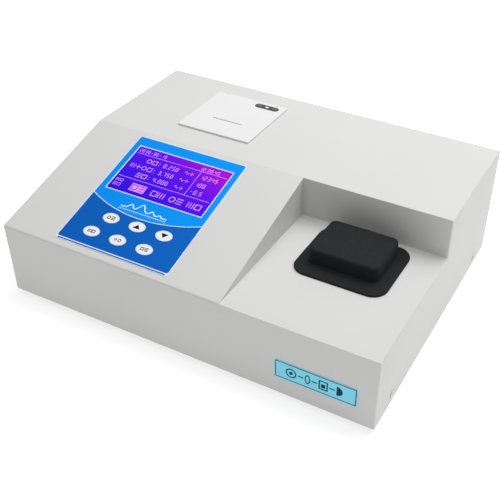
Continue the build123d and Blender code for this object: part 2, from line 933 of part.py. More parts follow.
plate_top = lid_top + plate_proud
key_step = plate_top - plate_skin
lip_bottom = key_step - small_key_gap - small_key_lip_thickness
plate_bottom = lip_bottom - small_key_travel - small_switch_gap - small_switch_height
small_key_places = {
    "printer_feed_key": plate_x - small_key_spread,
    "printer_select_key": plate_x + small_key_spread,
}
with BuildPart() as printer_key_plate:
    with BuildSketch(level(plate_bottom, plate_x, plate_y)):
        SlotOverall(plate_length, plate_width)
    extrude(amount=plate_top - plate_bottom)
    with BuildSketch(level(lid_low + lid_hollow, plate_x, plate_y)):
        SlotOverall(plate_length + 2 * plate_flange, plate_width + 2 * plate_flange)
    extrude(amount=-plate_flange_thickness)
    for small_x in small_key_places.values():
        with BuildSketch(level(plate_bottom, small_x, plate_y)):
            Ellipse(
                small_key_length / 2 + small_key_lip + small_key_gap,
                small_key_width / 2 + small_key_lip + small_key_gap,
            )
        extrude(amount=key_step - plate_bottom, mode=Mode.SUBTRACT)
        with BuildSketch(level(plate_bottom, small_x, plate_y)):
            Ellipse(
                small_key_length / 2 + small_key_gap, small_key_width / 2 + small_key_gap
            )
        extrude(amount=plate_top - plate_bottom, mode=Mode.SUBTRACT)
    with BuildSketch(level(plate_bottom, plate_x, plate_y)):
        Rectangle(lamp_length + 2 * small_key_gap, lamp_width + 2 * small_key_gap)
    extrude(amount=plate_top - plate_bottom, mode=Mode.SUBTRACT)
save(printer_key_plate, "printer_key_plate")

for small_name, small_x in small_key_places.items():
    with BuildPart() as small_key:
        with BuildSketch(level(lip_bottom, small_x, plate_y)):
            Ellipse(
                small_key_length / 2 + small_key_lip, small_key_width / 2 + small_key_lip
            )
        extrude(amount=small_key_lip_thickness)
        with BuildSketch(level(lip_bottom, small_x, plate_y)):
            Ellipse(small_key_length / 2, small_key_width / 2)
        extrude(amount=plate_top + small_key_proud - lip_bottom)
        fillet(small_key.faces().sort_by(Axis.Z)[-1].edges(), radius=0.25)
    save(small_key, small_name)

with BuildPart() as printer_lamp:
    with BuildSketch(level(plate_bottom, plate_x, plate_y)):
        Rectangle(lamp_length, lamp_width)
    extrude(amount=plate_top + small_key_proud - plate_bottom)
    fillet(printer_lamp.faces().sort_by(Axis.Z)[-1].edges(), radius=0.3)
save(printer_lamp, "printer_lamp")

with BuildPart() as printer_key_board:
    with BuildSketch(level(plate_bottom, plate_x, plate_y)):
        SlotOverall(plate_length + 2 * plate_flange, plate_width + 2 * plate_flange)
    extrude(amount=-small_board_thickness)
    with BuildSketch(level(plate_bottom, plate_x, plate_y)):
        with GridLocations(2 * small_key_spread, 0, 2, 1):
            Circle(small_switch_radius)
    extrude(amount=small_switch_height)
save(printer_key_board, "printer_key_board")


# Paper roll on its spindle

with BuildPart() as paper_spindle:
    with BuildSketch(facing_right(bay_left + panel_gap, roll_y, roll_z)):
        Circle(spindle_radius)
    extrude(amount=bay_width - 2 * panel_gap)
    with BuildSketch(facing_right(bay_left - bay_wall - 1, roll_y, roll_z)):
        Circle(neck_radius)
    extrude(amount=bay_width + 2 * bay_wall + 2)
save(paper_spindle, "paper_spindle")

with BuildPart() as paper_roll:
    with BuildSketch(facing_right(printer_x - paper_width / 2, roll_y, roll_z)):
        Circle(roll_radius)
        Circle(spindle_radius + running_gap, mode=Mode.SUBTRACT)
    extrude(amount=paper_width)
save(paper_roll, "paper_roll")


# Platen roller and the gear train that turns it


def half_tooth(radius, teeth):
    """Half the angle that an involute tooth covers at this radius."""
    pitch = tooth_module * teeth / 2
    base = pitch * cos(pressure_angle)
    roll = acos(min(1, base / radius))
    at_pitch = (pi * tooth_module / 2 - backlash) / (tooth_module * teeth)
    return at_pitch + (tan(pressure_angle) - pressure_angle) - (tan(roll) - roll)


def gear_part(teeth, bore, y, z, turn):
    """Spur gear in the gear plane, with one tooth pointing along the angle turn."""
    pitch = tooth_module * teeth / 2
    root = pitch - 1.15 * tooth_module
    base = max(root, pitch * cos(pressure_angle))
    tip = pitch + 0.85 * tooth_module
    radii = (base, pitch, tip)
    flank = [(radius, half_tooth(radius, teeth)) for radius in radii]
    flank.insert(0, (root * 0.96, flank[0][1]))
    points = [(r * cos(a), -r * sin(a)) for r, a in flank]
    points += [(r * cos(a), r * sin(a)) for r, a in reversed(flank)]
    with BuildPart() as gear:
        with BuildSketch(facing_right(gear_x, y, z)):
            Circle(root)
            with PolarLocations(0, teeth, start_angle=turn):
                Polygon(*points, align=None)
            if bore:
                Circle(bore, mode=Mode.SUBTRACT)
        extrude(amount=gear_width)
    return gear.part


# Each gear's teeth stand in the gaps of the one before
platen_turn = idler_bearing
idler_turn = idler_bearing + 180 + 180 / idler_teeth
idler_step = 360 / idler_teeth
idler_lag = (pinion_bearing - idler_turn) % idler_step
pinion_turn = (
    pinion_bearing + 180 + idler_lag * idler_teeth / pinion_teeth + 180 / pinion_teeth
)

with BuildPart() as platen_roller:
    with BuildSketch(facing_right(printer_x - paper_width / 2, platen_y, platen_z)):
        Circle(platen_radius)
    extrude(amount=paper_width)
    with BuildSketch(facing_right(bay_left - bay_wall - 1, platen_y, platen_z)):
        Circle(shaft_radius)
    extrude(amount=gear_x + gear_width - bay_left + bay_wall + 1)
save(platen_roller, "platen_roller")

with BuildPart() as platen_gear:
    add(gear_part(platen_teeth, shaft_radius, platen_y, platen_z, platen_turn))
save(platen_gear, "platen_gear")

with BuildPart() as idler_gear:
    idler_bore = idler_pin_radius + running_gap
    add(gear_part(idler_teeth, idler_bore, idler_y, idler_z, idler_turn))
save(idler_gear, "idler_gear")

motor_back = printer_x + tub_width / 2 - tub_wall
motor_front = motor_back - motor_length
with BuildPart() as motor_pinion:
    add(gear_part(pinion_teeth, 0, pinion_y, pinion_z, pinion_turn))
    with BuildSketch(facing_right(gear_x, pinion_y, pinion_z)):
        Circle(motor_shaft_radius)
    extrude(amount=motor_front + 3 - gear_x)
save(motor_pinion, "motor_pinion")

with BuildPart() as printer_motor:
    with BuildSketch(facing_right(motor_front, pinion_y, pinion_z)):
        Circle(motor_radius)
    extrude(amount=motor_length)
    with BuildSketch(facing_right(motor_front, pinion_y, pinion_z)):
        Circle(motor_shaft_radius + running_gap)
    extrude(amount=4, mode=Mode.SUBTRACT)
save(printer_motor, "printer_motor")

# Thermal head across the bay, pressed towards the platen by a leaf at its back
head_back = paper_slot_y - nip
with BuildPart() as print_head:
    with BuildSketch(facing_right(bay_left)):
        with Locations((head_back - head_depth / 4, platen_z)):
            Rectangle(head_depth / 2, head_height)
        with Locations((head_back - head_depth * 0.75, platen_z - head_height / 4)):
            Rectangle(head_depth / 2, head_height / 2)
    extrude(amount=bay_width)
save(print_head, "print_head")


# Loose black cover over the cuvette well

deck_z = front_height
with BuildPart() as sample_cover:
    with BuildSketch(level(deck_z, flange_x, flange_y)):
        RectangleRounded(flange_width, flange_length, flange_corner)
    extrude(amount=flange_thickness)
    fillet(sample_cover.faces().sort_by(Axis.Z)[-1].edges(), radius=flange_edge)
    with BuildSketch(level(deck_z, cover_x, cover_y)):
        RectangleRounded(cover_width, cover_length, cover_corner)
    extrude(amount=cover_height, taper=cover_draft)
    fillet(sample_cover.faces().sort_by(Axis.Z)[-1].edges(), radius=cover_top_radius)
    foot_edges = sample_cover.edges().filter_by_position(
        Axis.Z,
        foot_height + deck_z + flange_thickness - 0.01,
        foot_height + deck_z + flange_thickness + 0.01,
    )
    inner_foot = foot_edges.filter_by(
        lambda e: (
            e.bounding_box().size.X < cover_width
            and abs(e.center().X - left_x - cover_x) <= cover_width / 2
            and abs(e.center().Y - front_y - cover_y) <= cover_length / 2
        )
    )
    fillet(inner_foot, radius=cover_foot_radius)
    with BuildSketch(level(deck_z, cover_x, cover_y)):
        RectangleRounded(
            cover_width - 2 * cover_wall,
            cover_length - 2 * cover_wall,
            cover_corner - cover_wall,
        )
    extrude(amount=cover_height - cover_wall, taper=cover_draft, mode=Mode.SUBTRACT)
save(sample_cover, "sample_cover")


# Cuvette well hung under the deck, with its slot, finger notch and beam hole

plate_z = front_height - sheet
cell_foot = front_height - cell_depth
beam_z = cell_foot + beam_above_cell_foot
beam_y = cover_y
with BuildPart() as cuvette_well:
    with BuildSketch(level(bench_top, cover_x, cover_y)):
        RectangleRounded(well_width, well_length, well_corner)
    extrude(amount=front_height - bench_top)
    with BuildSketch(level(plate_z, cover_x, cover_y)):
        RectangleRounded(
            well_opening_width + 2 * well_plate_margin,
            well_opening_length + 2 * well_plate_margin,
            well_corner,
        )
    extrude(amount=-well_plate_thickness)
    # Light tube to the monochromator
    with BuildSketch(facing_right(box_right, beam_y, beam_z)):
        Circle(2 * beam_radius)
    extrude(amount=box_to_well + 1)
    with BuildSketch(level(cell_foot, cover_x, cover_y)):
        Rectangle(cell_width, cell_length)
    extrude(amount=cell_depth, mode=Mode.SUBTRACT)
    with BuildSketch(level(front_height - finger_depth, cover_x, cover_y)):
        RectangleRounded(finger_width, finger_length, finger_width / 4)
    extrude(amount=finger_depth, mode=Mode.SUBTRACT)
    with BuildSketch(facing_right(box_right, beam_y, beam_z)):
        Circle(beam_radius)
    extrude(amount=box_to_well + well_width, mode=Mode.SUBTRACT)
save(cuvette_well, "cuvette_well")


# Optical base plate on its spacers, round the power supply's corner

well_right = cover_x + well_width / 2
detector_right = well_right + detector_width
bench_points = [
    (box_left - bench_margin, box_front - bench_margin),
    (detector_right + bench_margin, box_front - bench_margin),
    (detector_right + bench_margin, box_back),
    (entry_x + lamp_house_width / 2 + bench_margin, box_back),
    (entry_x + lamp_house_width / 2 + bench_margin, lamp_house_back + bench_margin),
    (box_left - bench_margin, lamp_house_back + bench_margin),
]
bench_posts = [
    (box_left + bench_post_radius, box_front + bench_post_radius),
    (detector_right - bench_post_radius, box_front + bench_post_radius),
    (detector_right - bench_post_radius, box_back - 2 * bench_post_radius),
    (box_left + bench_post_radius, lamp_house_back - bench_post_radius),
]
with BuildPart() as optics_base:
    with BuildSketch(level(bench_floor)):
        with BuildLine():
            Polyline(*bench_points, close=True)
        make_face()
    extrude(amount=bench_thickness)
    with BuildSketch(level(sheet)):
        with Locations(*bench_posts):
            Circle(bench_post_radius)
    extrude(amount=bench_stand_off)
save(optics_base, "optics_base")


# Monochromator box and its lid

box_x = (box_left + box_right) / 2
box_y = (box_front + box_back) / 2
box_floor = bench_top + box_wall
arm_z = box_floor + table_lift + table_thickness / 2
arm_y = grating_y - arm_length
with BuildPart() as monochromator_box:
    with BuildSketch(level(bench_top, box_x, box_y)):
        RectangleRounded(box_width, box_length, box_wall)
    extrude(amount=box_height)
    with BuildSketch(level(box_floor, box_x, box_y)):
        Rectangle(box_width - 2 * box_wall, box_length - 2 * box_wall)
    extrude(amount=box_height, mode=Mode.SUBTRACT)
    # Pivot of the grating's table, with the shoulder that the table turns on
    with BuildSketch(level(box_floor, grating_x, grating_y)):
        Circle(pivot_radius)
    extrude(amount=table_lift + table_thickness)
    with BuildSketch(level(box_floor, grating_x, grating_y)):
        Circle(pivot_radius + pivot_shoulder)
    extrude(amount=table_lift - running_gap)
    # Entry slit behind, exit slit at the right, both opened out inside
    with BuildSketch(facing_front(box_back, entry_x, beam_z)):
        Rectangle(slit_width, slit_height)
    extrude(amount=box_wall, mode=Mode.SUBTRACT)
    with BuildSketch(facing_front(box_back - box_wall, entry_x, beam_z)):
        Circle(beam_radius + slit_relief)
    extrude(amount=slit_skin - box_wall, mode=Mode.SUBTRACT)
    with BuildSketch(facing_right(box_right - box_wall, beam_y, beam_z)):
        Rectangle(slit_width, slit_height)
    extrude(amount=box_wall, mode=Mode.SUBTRACT)
    with BuildSketch(facing_right(box_right - box_wall, beam_y, beam_z)):
        Circle(beam_radius + slit_relief)
    extrude(amount=box_wall - slit_skin, mode=Mode.SUBTRACT)
    # Hole for the drive's plunger in the left wall
    with BuildSketch(facing_right(box_left, arm_y, arm_z)):
        Circle(plunger_radius + panel_gap)
    extrude(amount=box_wall, mode=Mode.SUBTRACT)
save(monochromator_box, "monochromator_box")

with BuildPart() as monochromator_lid:
    with BuildSketch(level(bench_top + box_height, box_x, box_y)):
        RectangleRounded(box_width, box_length, box_wall)
    extrude(amount=box_lid_thickness)
save(monochromator_lid, "monochromator_lid")


# Mirrors and grating: each faces half-way between the two rays that meet on it


def unit(x, y):
    length = hypot(x, y)
    return x / length, y / length


def half_way(at, one, other):
    """Unit direction at a point, half-way between the directions to two others."""
    first = unit(one[0] - at[0], one[1] - at[1])
    second = unit(other[0] - at[0], other[1] - at[1])
    return unit(first[0] + second[0], first[1] + second[1])


entry_slit = (entry_x, box_back)
exit_slit = (box_right, beam_y)
first_mirror = (entry_x, first_mirror_y)
second_mirror = (second_mirror_x, beam_y)
grating_pivot = (grating_x, grating_y)


def upright(at, facing, z):
    """Upright plane through a point, facing a horizontal direction."""
    return Plane(
        origin=place(at[0], at[1], z),
        x_dir=(-facing[1], facing[0], 0),
        z_dir=(facing[0], facing[1], 0),
    )


def mirror_part(at, facing):
    """Square mirror with a rounded back on its post."""
    with BuildPart() as mirror_piece:
        with BuildSketch(upright(at, facing, beam_z)):
            RectangleRounded(mirror_side, mirror_side, 2)
        extrude(amount=-mirror_thickness)
        back_x = at[0] - facing[0] * mirror_thickness / 2
        back_y = at[1] - facing[1] * mirror_thickness / 2
        with BuildSketch(level(box_floor, back_x, back_y)):
            Circle(mirror_post_radius)
        extrude(amount=beam_z - mirror_side / 2 - box_floor)
    return mirror_piece.part


with BuildPart() as collimating_mirror:
    add(mirror_part(first_mirror, half_way(first_mirror, entry_slit, grating_pivot)))
save(collimating_mirror, "collimating_mirror")

with BuildPart() as focusing_mirror:
    add(mirror_part(second_mirror, half_way(second_mirror, grating_pivot, exit_slit)))
save(focusing_mirror, "focusing_mirror")

# Grating table on the pivot, with the arm that the drive pushes
grating_facing = half_way(grating_pivot, first_mirror, second_mirror)
grating_foot = beam_z - grating_side / 2
with BuildPart() as grating_table:
    with BuildSketch(level(box_floor + table_lift, grating_x, grating_y)):
        Circle(table_radius)
    extrude(amount=table_thickness)
    with BuildSketch(level(box_floor + table_lift, grating_x, grating_y - arm_length / 2)):
        Rectangle(arm_width, arm_length)
    extrude(amount=table_thickness)
    with BuildSketch(level(box_floor + table_lift, grating_x, arm_y)):
        Circle(arm_tip_radius + arm_width / 4)
    extrude(amount=table_thickness)
    with BuildSketch(level(box_floor + table_lift, grating_x, grating_y)):
        Circle(pivot_radius + running_gap)
    extrude(amount=table_thickness, mode=Mode.SUBTRACT)
    # Back plate that the grating is fixed to
    back = grating_thickness / 2
    back_at = (
        grating_x - grating_facing[0] * back,
        grating_y - grating_facing[1] * back,
    )
    table_top = box_floor + table_lift + table_thickness
    back_height = beam_z + grating_side / 2 - table_top
    with BuildSketch(upright(back_at, grating_facing, table_top + back_height / 2)):
        Rectangle(grating_side, back_height)
    extrude(amount=-back)
save(grating_table, "grating_table")

with BuildPart() as grating:
    with BuildSketch(upright(back_at, grating_facing, beam_z)):
        Rectangle(grating_side, grating_side)
    extrude(amount=grating_thickness)
save(grating, "grating")

# Linear stepper on the box's left wall, and the plunger that pushes the arm
arm_tip = arm_tip_radius + arm_width / 4
plunger_end = grating_x - arm_tip - contact_gap
plunger_stroke = arm_length * radians(arm_swing)
plunger_tail = box_left - stepper_length + plunger_stroke + plunger_hold
with BuildPart() as drive_stepper:
    with BuildSketch(facing_right(box_left - stepper_length, arm_y, arm_z)):
        RectangleRounded(stepper_side, stepper_side, 3)
    extrude(amount=stepper_length)
    with BuildSketch(facing_right(box_left - stepper_length, arm_y, arm_z)):
        Circle(plunger_radius + running_gap)
    extrude(amount=stepper_length, mode=Mode.SUBTRACT)
save(drive_stepper, "drive_stepper")

with BuildPart() as drive_plunger:
    with BuildSketch(facing_right(plunger_tail, arm_y, arm_z)):
        Circle(plunger_radius)
    extrude(amount=plunger_end - plunger_tail)
    with BuildSketch(facing_right(plunger_end, arm_y, arm_z)):
        Circle(plunger_head_radius)
    extrude(amount=-plunger_head_length)
save(drive_plunger, "drive_plunger")


# Lamp house with its snout, lens and deuterium lamp

lamp_y = lamp_house_front + lamp_house_length / 2
with BuildPart() as lamp_house:
    with BuildSketch(level(bench_top, entry_x, lamp_y)):
        RectangleRounded(lamp_house_width, lamp_house_length, lamp_house_corner)
    extrude(amount=lamp_house_height)
    with BuildSketch(facing_front(lamp_house_front, entry_x, beam_z)):
        Circle(snout_radius)
    extrude(amount=snout_radius)
    with BuildSketch(level(bench_top, entry_x, lamp_y)):
        Rectangle(
            lamp_house_width - 2 * lamp_house_wall,
            lamp_house_length - 2 * lamp_house_wall,
        )
    extrude(amount=lamp_house_height - lamp_house_wall, mode=Mode.SUBTRACT)
    with BuildSketch(facing_front(lamp_house_front + lamp_house_wall, entry_x, beam_z)):
        Circle(lens_radius)
    extrude(amount=lamp_house_wall + snout_radius, mode=Mode.SUBTRACT)
    # Air slots in the top, and in the wall that the fan draws through
    with BuildSketch(level(bench_top + lamp_house_height - lamp_house_wall, entry_x, lamp_y)):
        with GridLocations(0, lamp_slot_pitch, 1, lamp_slot_rows):
            SlotOverall(lamp_slot_length, lamp_slot_width)
    extrude(amount=lamp_house_wall, mode=Mode.SUBTRACT)
    with BuildSketch(facing_front(lamp_house_back, entry_x, fan_z)):
        with GridLocations(lamp_vent_pitch, 0, lamp_vent_rows, 1):
            SlotOverall(lamp_vent_length, lamp_vent_width, rotation=90)
    extrude(amount=lamp_house_wall, mode=Mode.SUBTRACT)
save(lamp_house, "lamp_house")

with BuildPart() as condenser_lens:
    # Flat towards the box and domed towards the lamp
    dome = (lens_radius**2 + lens_sag**2) / (2 * lens_sag)
    with BuildSketch(facing_right(entry_x, box_back + snout_radius / 2, beam_z)):
        with Locations((lens_thickness / 2, lens_radius / 2)):
            Rectangle(lens_thickness, lens_radius)
        with Locations((lens_thickness - dome, 0)):
            Circle(dome, mode=Mode.INTERSECT)
    revolve(axis=Axis(place(entry_x, box_back, beam_z), (0, 1, 0)))
save(condenser_lens, "condenser_lens")

with BuildPart() as deuterium_lamp:
    collar_top = lamp_base_height + lamp_collar_height
    with BuildSketch(facing_right(entry_x, lamp_y, bench_top)):
        with BuildLine():
            Polyline(
                (0, 0),
                (lamp_base_radius, 0),
                (lamp_base_radius, lamp_base_height),
                (lamp_collar_radius, lamp_base_height),
                (lamp_collar_radius, collar_top),
                (bulb_radius, collar_top),
                (bulb_radius, collar_top + bulb_height - bulb_radius),
            )
            RadiusArc(
                (bulb_radius, collar_top + bulb_height - bulb_radius),
                (0, collar_top + bulb_height),
                -bulb_radius,
            )
            Line((0, collar_top + bulb_height), (0, 0))
        make_face()
    revolve(axis=Axis(place(entry_x, lamp_y, 0), (0, 0, 1)))
save(deuterium_lamp, "deuterium_lamp")


# Detector block beside the well, with its photodiode

with BuildPart() as detector_block:
    detector_x = well_right + detector_width / 2
    with BuildSketch(level(bench_top, detector_x, beam_y)):
        RectangleRounded(detector_width, detector_length, 2)
    extrude(amount=beam_z + detector_over_beam - bench_top)
    with BuildSketch(facing_right(well_right, beam_y, beam_z)):
        Circle(beam_radius)
    extrude(amount=detector_width, mode=Mode.SUBTRACT)
    with BuildSketch(facing_right(detector_right - 2 * diode_thickness, beam_y, beam_z)):
        Circle(diode_radius)
    extrude(amount=2 * diode_thickness, mode=Mode.SUBTRACT)
save(detector_block, "detector_block")

with BuildPart() as photodiode:
    with BuildSketch(facing_right(detector_right - 2 * diode_thickness, beam_y, beam_z)):
        Circle(diode_radius)
    extrude(amount=diode_thickness)
    with BuildSketch(facing_right(detector_right - diode_thickness, beam_y, beam_z)):
        with PolarLocations(diode_radius / 2, 3):
            Circle(0.4)
    extrude(amount=diode_thickness + 4)
save(photodiode, "photodiode")


# Main board on its pillars, and the power supply

with BuildPart() as main_board:
    board_x = main_board_left + main_board_width / 2
    board_y = main_board_front + main_board_length / 2
    board_z = sheet + main_board_stand_off
    with BuildSketch(level(board_z, board_x, board_y)):
        Rectangle(main_board_width, main_board_length)
    extrude(amount=board_thickness)
    with BuildSketch(level(sheet, board_x, board_y)):
        with GridLocations(
            main_board_width - 2 * main_board_post_inset,
            main_board_length - 2 * main_board_post_inset,
            2,
            2,
        ):
            Circle(post_radius)
    extrude(amount=main_board_stand_off)
    with BuildSketch(level(board_z + board_thickness, board_x, board_y)):
        Rectangle(processor_side, processor_side)
        with GridLocations(memory_spread, 0, 2, 1):
            Rectangle(memory_width, memory_length)
    extrude(amount=processor_height)
    with BuildSketch(level(board_z + board_thickness, board_x, board_y)):
        with GridLocations(header_pitch, main_board_length - 2 * header_inset, 3, 2):
            Rectangle(header_width, header_length)
    extrude(amount=header_height)
save(main_board, "main_board")

with BuildPart() as power_supply:
    with BuildSketch(level(sheet, supply_x, supply_y)):
        Rectangle(supply_width, supply_length)
    extrude(amount=supply_height)
    # Terminal step at the left end and the vents in the lid
    step_x = supply_left + supply_step / 2
    with BuildSketch(level(sheet + supply_height / 2, step_x, supply_y)):
        Rectangle(supply_step, supply_length)
    extrude(amount=supply_height, mode=Mode.SUBTRACT)
    vent_x = supply_x + supply_step / 2
    with BuildSketch(level(sheet + supply_height - supply_vent_depth, vent_x, supply_y)):
        with GridLocations(0, supply_vent_pitch, 1, supply_vent_rows):
            SlotOverall(supply_vent_length, supply_vent_width)
    extrude(amount=supply_vent_depth, mode=Mode.SUBTRACT)
save(power_supply, "power_supply")


# Mains inlet with its fuse drawer

socket_z = inlet_z + socket_rise
drawer_z = inlet_z - drawer_drop
inlet_face = case_depth + inlet_flange_thickness
with BuildPart() as mains_inlet:
    with BuildSketch(facing_back(case_depth, inlet_x, inlet_z)):
        RectangleRounded(inlet_flange_width, inlet_flange_height, 4)
    extrude(amount=inlet_flange_thickness)
    with BuildSketch(facing_back(case_depth, inlet_x, inlet_z)):
        Rectangle(inlet_body_width, inlet_body_height)
    extrude(amount=-inlet_body_depth)
    with BuildSketch(facing_back(inlet_face, inlet_x, socket_z)) as socket:
        Rectangle(socket_width, socket_height)
        chamfer(socket.vertices().group_by(Axis.Y)[-1], length=socket_chamfer)
    extrude(amount=-socket_depth, mode=Mode.SUBTRACT)
    # Live, neutral and earth blades
    with BuildSketch(facing_back(inlet_face - socket_depth, inlet_x, socket_z)):
        with Locations(
            (-blade_spread, -blade_offset), (blade_spread, -blade_offset), (0, blade_offset)
        ):
            Rectangle(blade_thickness, blade_width)
    extrude(amount=blade_length)
    # Pocket of the fuse drawer
    with BuildSketch(facing_back(inlet_face, inlet_x, drawer_z)):
        Rectangle(drawer_width + 2 * drawer_gap, drawer_height + 2 * drawer_gap)
    extrude(amount=-drawer_depth - drawer_gap, mode=Mode.SUBTRACT)
    with BuildSketch(facing_back(inlet_face, inlet_x, inlet_z)):
        with Locations((-inlet_ear, 0), (inlet_ear, 0)):
            Circle(screw_radius + screw_clearance)
    extrude(amount=-inlet_flange_thickness, mode=Mode.SUBTRACT)
save(mains_inlet, "mains_inlet")

with BuildPart() as fuse_drawer:
    with BuildSketch(facing_back(inlet_face + drawer_lip, inlet_x, drawer_z)):
        Rectangle(drawer_width, drawer_height)
    extrude(amount=-drawer_depth)
    # Cradle for the fuse, open to the top
    cradle_y = inlet_face - drawer_depth / 2
    with BuildSketch(facing_right(inlet_x - fuse_length / 2, cradle_y, drawer_z)):
        Circle(fuse_radius)
        with Locations((0, drawer_height / 2)):
            Rectangle(2 * fuse_radius, drawer_height)
    extrude(amount=fuse_length, mode=Mode.SUBTRACT)
save(fuse_drawer, "fuse_drawer")


# Mains switch: housing and rocker, at rest tipped to off

switch_face = case_depth + switch_flange_thickness
pivot_y = switch_face - pivot_drop
pocket_half = hypot(rocker_half_height, rocker_proud) + rocker_gap
with BuildPart() as switch_housing:
    with BuildSketch(facing_back(case_depth, switch_x, switch_z)):
        RectangleRounded(switch_flange_width, switch_flange_height, 1.5)
    extrude(amount=switch_flange_thickness)
    with BuildSketch(facing_back(case_depth, switch_x, switch_z)):
        Rectangle(switch_body_width, switch_body_height)
    extrude(amount=-switch_body_depth)
    with BuildSketch(facing_back(switch_face, switch_x, switch_z)):
        Rectangle(rocker_width + 2 * rocker_gap, 2 * pocket_half)
    extrude(amount=-rocker_depth - switch_pocket, mode=Mode.SUBTRACT)
    with BuildSketch(facing_right(switch_x - switch_body_width / 2, pivot_y, switch_z)):
        Circle(rocker_pin_radius + running_gap)
    extrude(amount=switch_body_width, mode=Mode.SUBTRACT)
save(switch_housing, "switch_housing")

tilt = radians(rocker_swing)
with BuildPart() as power_rocker:
    rocker_plane = Plane(
        origin=place(switch_x - rocker_width / 2, pivot_y, switch_z),
        x_dir=(0, -sin(tilt), cos(tilt)),
        z_dir=(-1, 0, 0),
    )
    with BuildSketch(rocker_plane):
        with BuildLine():
            Polyline(
                (-rocker_half_height, -pivot_drop),
                (-rocker_half_height, rocker_proud),
                (0, rocker_dip),
                (rocker_half_height, rocker_proud),
                (rocker_half_height, -pivot_drop),
                (rocker_foot, -rocker_depth),
                (-rocker_foot, -rocker_depth),
                close=True,
            )
        make_face()
    extrude(amount=-rocker_width)
    with BuildSketch(facing_right(switch_x - switch_body_width / 2, pivot_y, switch_z)):
        Circle(rocker_pin_radius)
    extrude(amount=switch_body_width)
save(power_rocker, "power_rocker")


# Cooling fan: frame, rotor and finger guard

fan_back = case_depth - sheet
fan_mid = fan_back - fan_depth / 2
with BuildPart() as fan_frame:
    with BuildSketch(facing_back(fan_back - fan_depth, fan_x, fan_z)):
        RectangleRounded(fan_side, fan_side, 4)
        Circle(fan_bore, mode=Mode.SUBTRACT)
        with GridLocations(2 * fan_hole_spread, 2 * fan_hole_spread, 2, 2):
            Circle(screw_radius + screw_clearance, mode=Mode.SUBTRACT)
    extrude(amount=fan_depth)
    # Struts that carry the motor, on the lamp's side
    with BuildSketch(facing_back(fan_back - fan_depth, fan_x, fan_z)):
        Circle(fan_hub_radius)
        with PolarLocations(fan_bore / 2, 3, start_angle=90):
            Rectangle(fan_bore + 2, fan_strut)
    extrude(amount=fan_strut)
    with BuildSketch(facing_back(fan_back - fan_depth, fan_x, fan_z)):
        Circle(fan_pin_radius)
    extrude(amount=fan_pin_length)
save(fan_frame, "fan_frame")

with BuildPart() as fan_rotor:
    rotor_front = fan_back - fan_depth + fan_strut + fan_run_gap
    rotor_depth = fan_depth - fan_strut - 2 * fan_run_gap
    with BuildSketch(facing_back(rotor_front, fan_x, fan_z)):
        Circle(fan_hub_radius)
    extrude(amount=rotor_depth)
    blade_reach = fan_bore - fan_tip_gap
    blade_middle = place(fan_x, rotor_front + rotor_depth / 2, fan_z)
    for blade in range(fan_blades):
        angle = 2 * pi * blade / fan_blades
        outwards = (cos(angle), 0, sin(angle))
        root_at = blade_middle + Vector(*outwards) * (fan_hub_radius - 1)
        with BuildSketch(Plane(origin=root_at, x_dir=(0, 1, 0), z_dir=outwards)):
            Rectangle(rotor_depth * 0.92, fan_blade_thickness, rotation=fan_blade_pitch)
        extrude(amount=blade_reach - fan_hub_radius + 1)
    # Blade tips follow the bore
    with BuildSketch(facing_back(rotor_front, fan_x, fan_z)):
        Circle(blade_reach)
    extrude(amount=rotor_depth, mode=Mode.INTERSECT)
    with BuildSketch(facing_back(rotor_front, fan_x, fan_z)):
        Circle(fan_pin_radius + running_gap)
    extrude(amount=fan_pin_length - fan_strut, mode=Mode.SUBTRACT)
save(fan_rotor, "fan_rotor")

with BuildPart() as fan_guard:
    with BuildSketch(facing_back(case_depth, fan_x, fan_z)):
        # Rings from the outer one inwards, then the arms out to the screws
        for ring in guard_rings:
            Circle(ring + guard_width / 2)
            Circle(ring - guard_width / 2, mode=Mode.SUBTRACT)
        Circle(guard_hub_radius)
        reach = 2 * hypot(fan_hole_spread, fan_hole_spread)
        for arm_turn in (45, -45):
            Rectangle(reach, guard_width, rotation=arm_turn)
        with GridLocations(2 * fan_hole_spread, 2 * fan_hole_spread, 2, 2):
            Circle(screw_radius + guard_eye)
            Circle(screw_radius + screw_clearance, mode=Mode.SUBTRACT)
    extrude(amount=guard_thickness)
save(fan_guard, "fan_guard")


# Nine-pin serial port

with BuildPart() as serial_port:
    with BuildSketch(facing_back(case_depth, port_x, port_z)) as shell_outline:
        Rectangle(port_width, port_height)
        fillet(shell_outline.vertices(), radius=2.5)
    extrude(amount=port_reach)
    with BuildSketch(facing_back(case_depth, port_x, port_z)) as shell_hollow:
        Rectangle(port_width - 2 * port_shell, port_height - 2 * port_shell)
        fillet(shell_hollow.vertices(), radius=1.7)
    extrude(amount=port_reach, mode=Mode.SUBTRACT)
    with BuildSketch(facing_back(case_depth, port_x, port_z)):
        Rectangle(port_width, port_height)
    extrude(amount=-9)
    with BuildSketch(facing_back(case_depth - sheet, port_x, port_z)):
        RectangleRounded(port_flange_width, port_flange_height, 1.5)
    extrude(amount=-1)
    with BuildSketch(facing_back(case_depth, port_x, port_z)):
        with Locations((0, port_pin_pitch / 2)):
            with GridLocations(port_pin_pitch, 0, 5, 1):
                Circle(port_pin_radius)
        with Locations((0, -port_pin_pitch / 2)):
            with GridLocations(port_pin_pitch, 0, 4, 1):
                Circle(port_pin_radius)
    extrude(amount=port_reach - 1)
    # Hexagonal jack screws through the panel
    with BuildSketch(facing_back(case_depth - sheet, port_x, port_z)):
        with GridLocations(2 * port_screw_spread, 0, 2, 1):
            Circle(screw_radius)
    extrude(amount=sheet)
    with BuildSketch(facing_back(case_depth, port_x, port_z)):
        with GridLocations(2 * port_screw_spread, 0, 2, 1):
            RegularPolygon(radius=2.7, side_count=6)
    extrude(amount=port_reach - 1)
save(serial_port, "serial_port")
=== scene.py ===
"""Looks of the bench ultraviolet oil content analyzer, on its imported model. Metres, +Z up."""

import json
from math import asin, cos, exp, pi, radians, sin

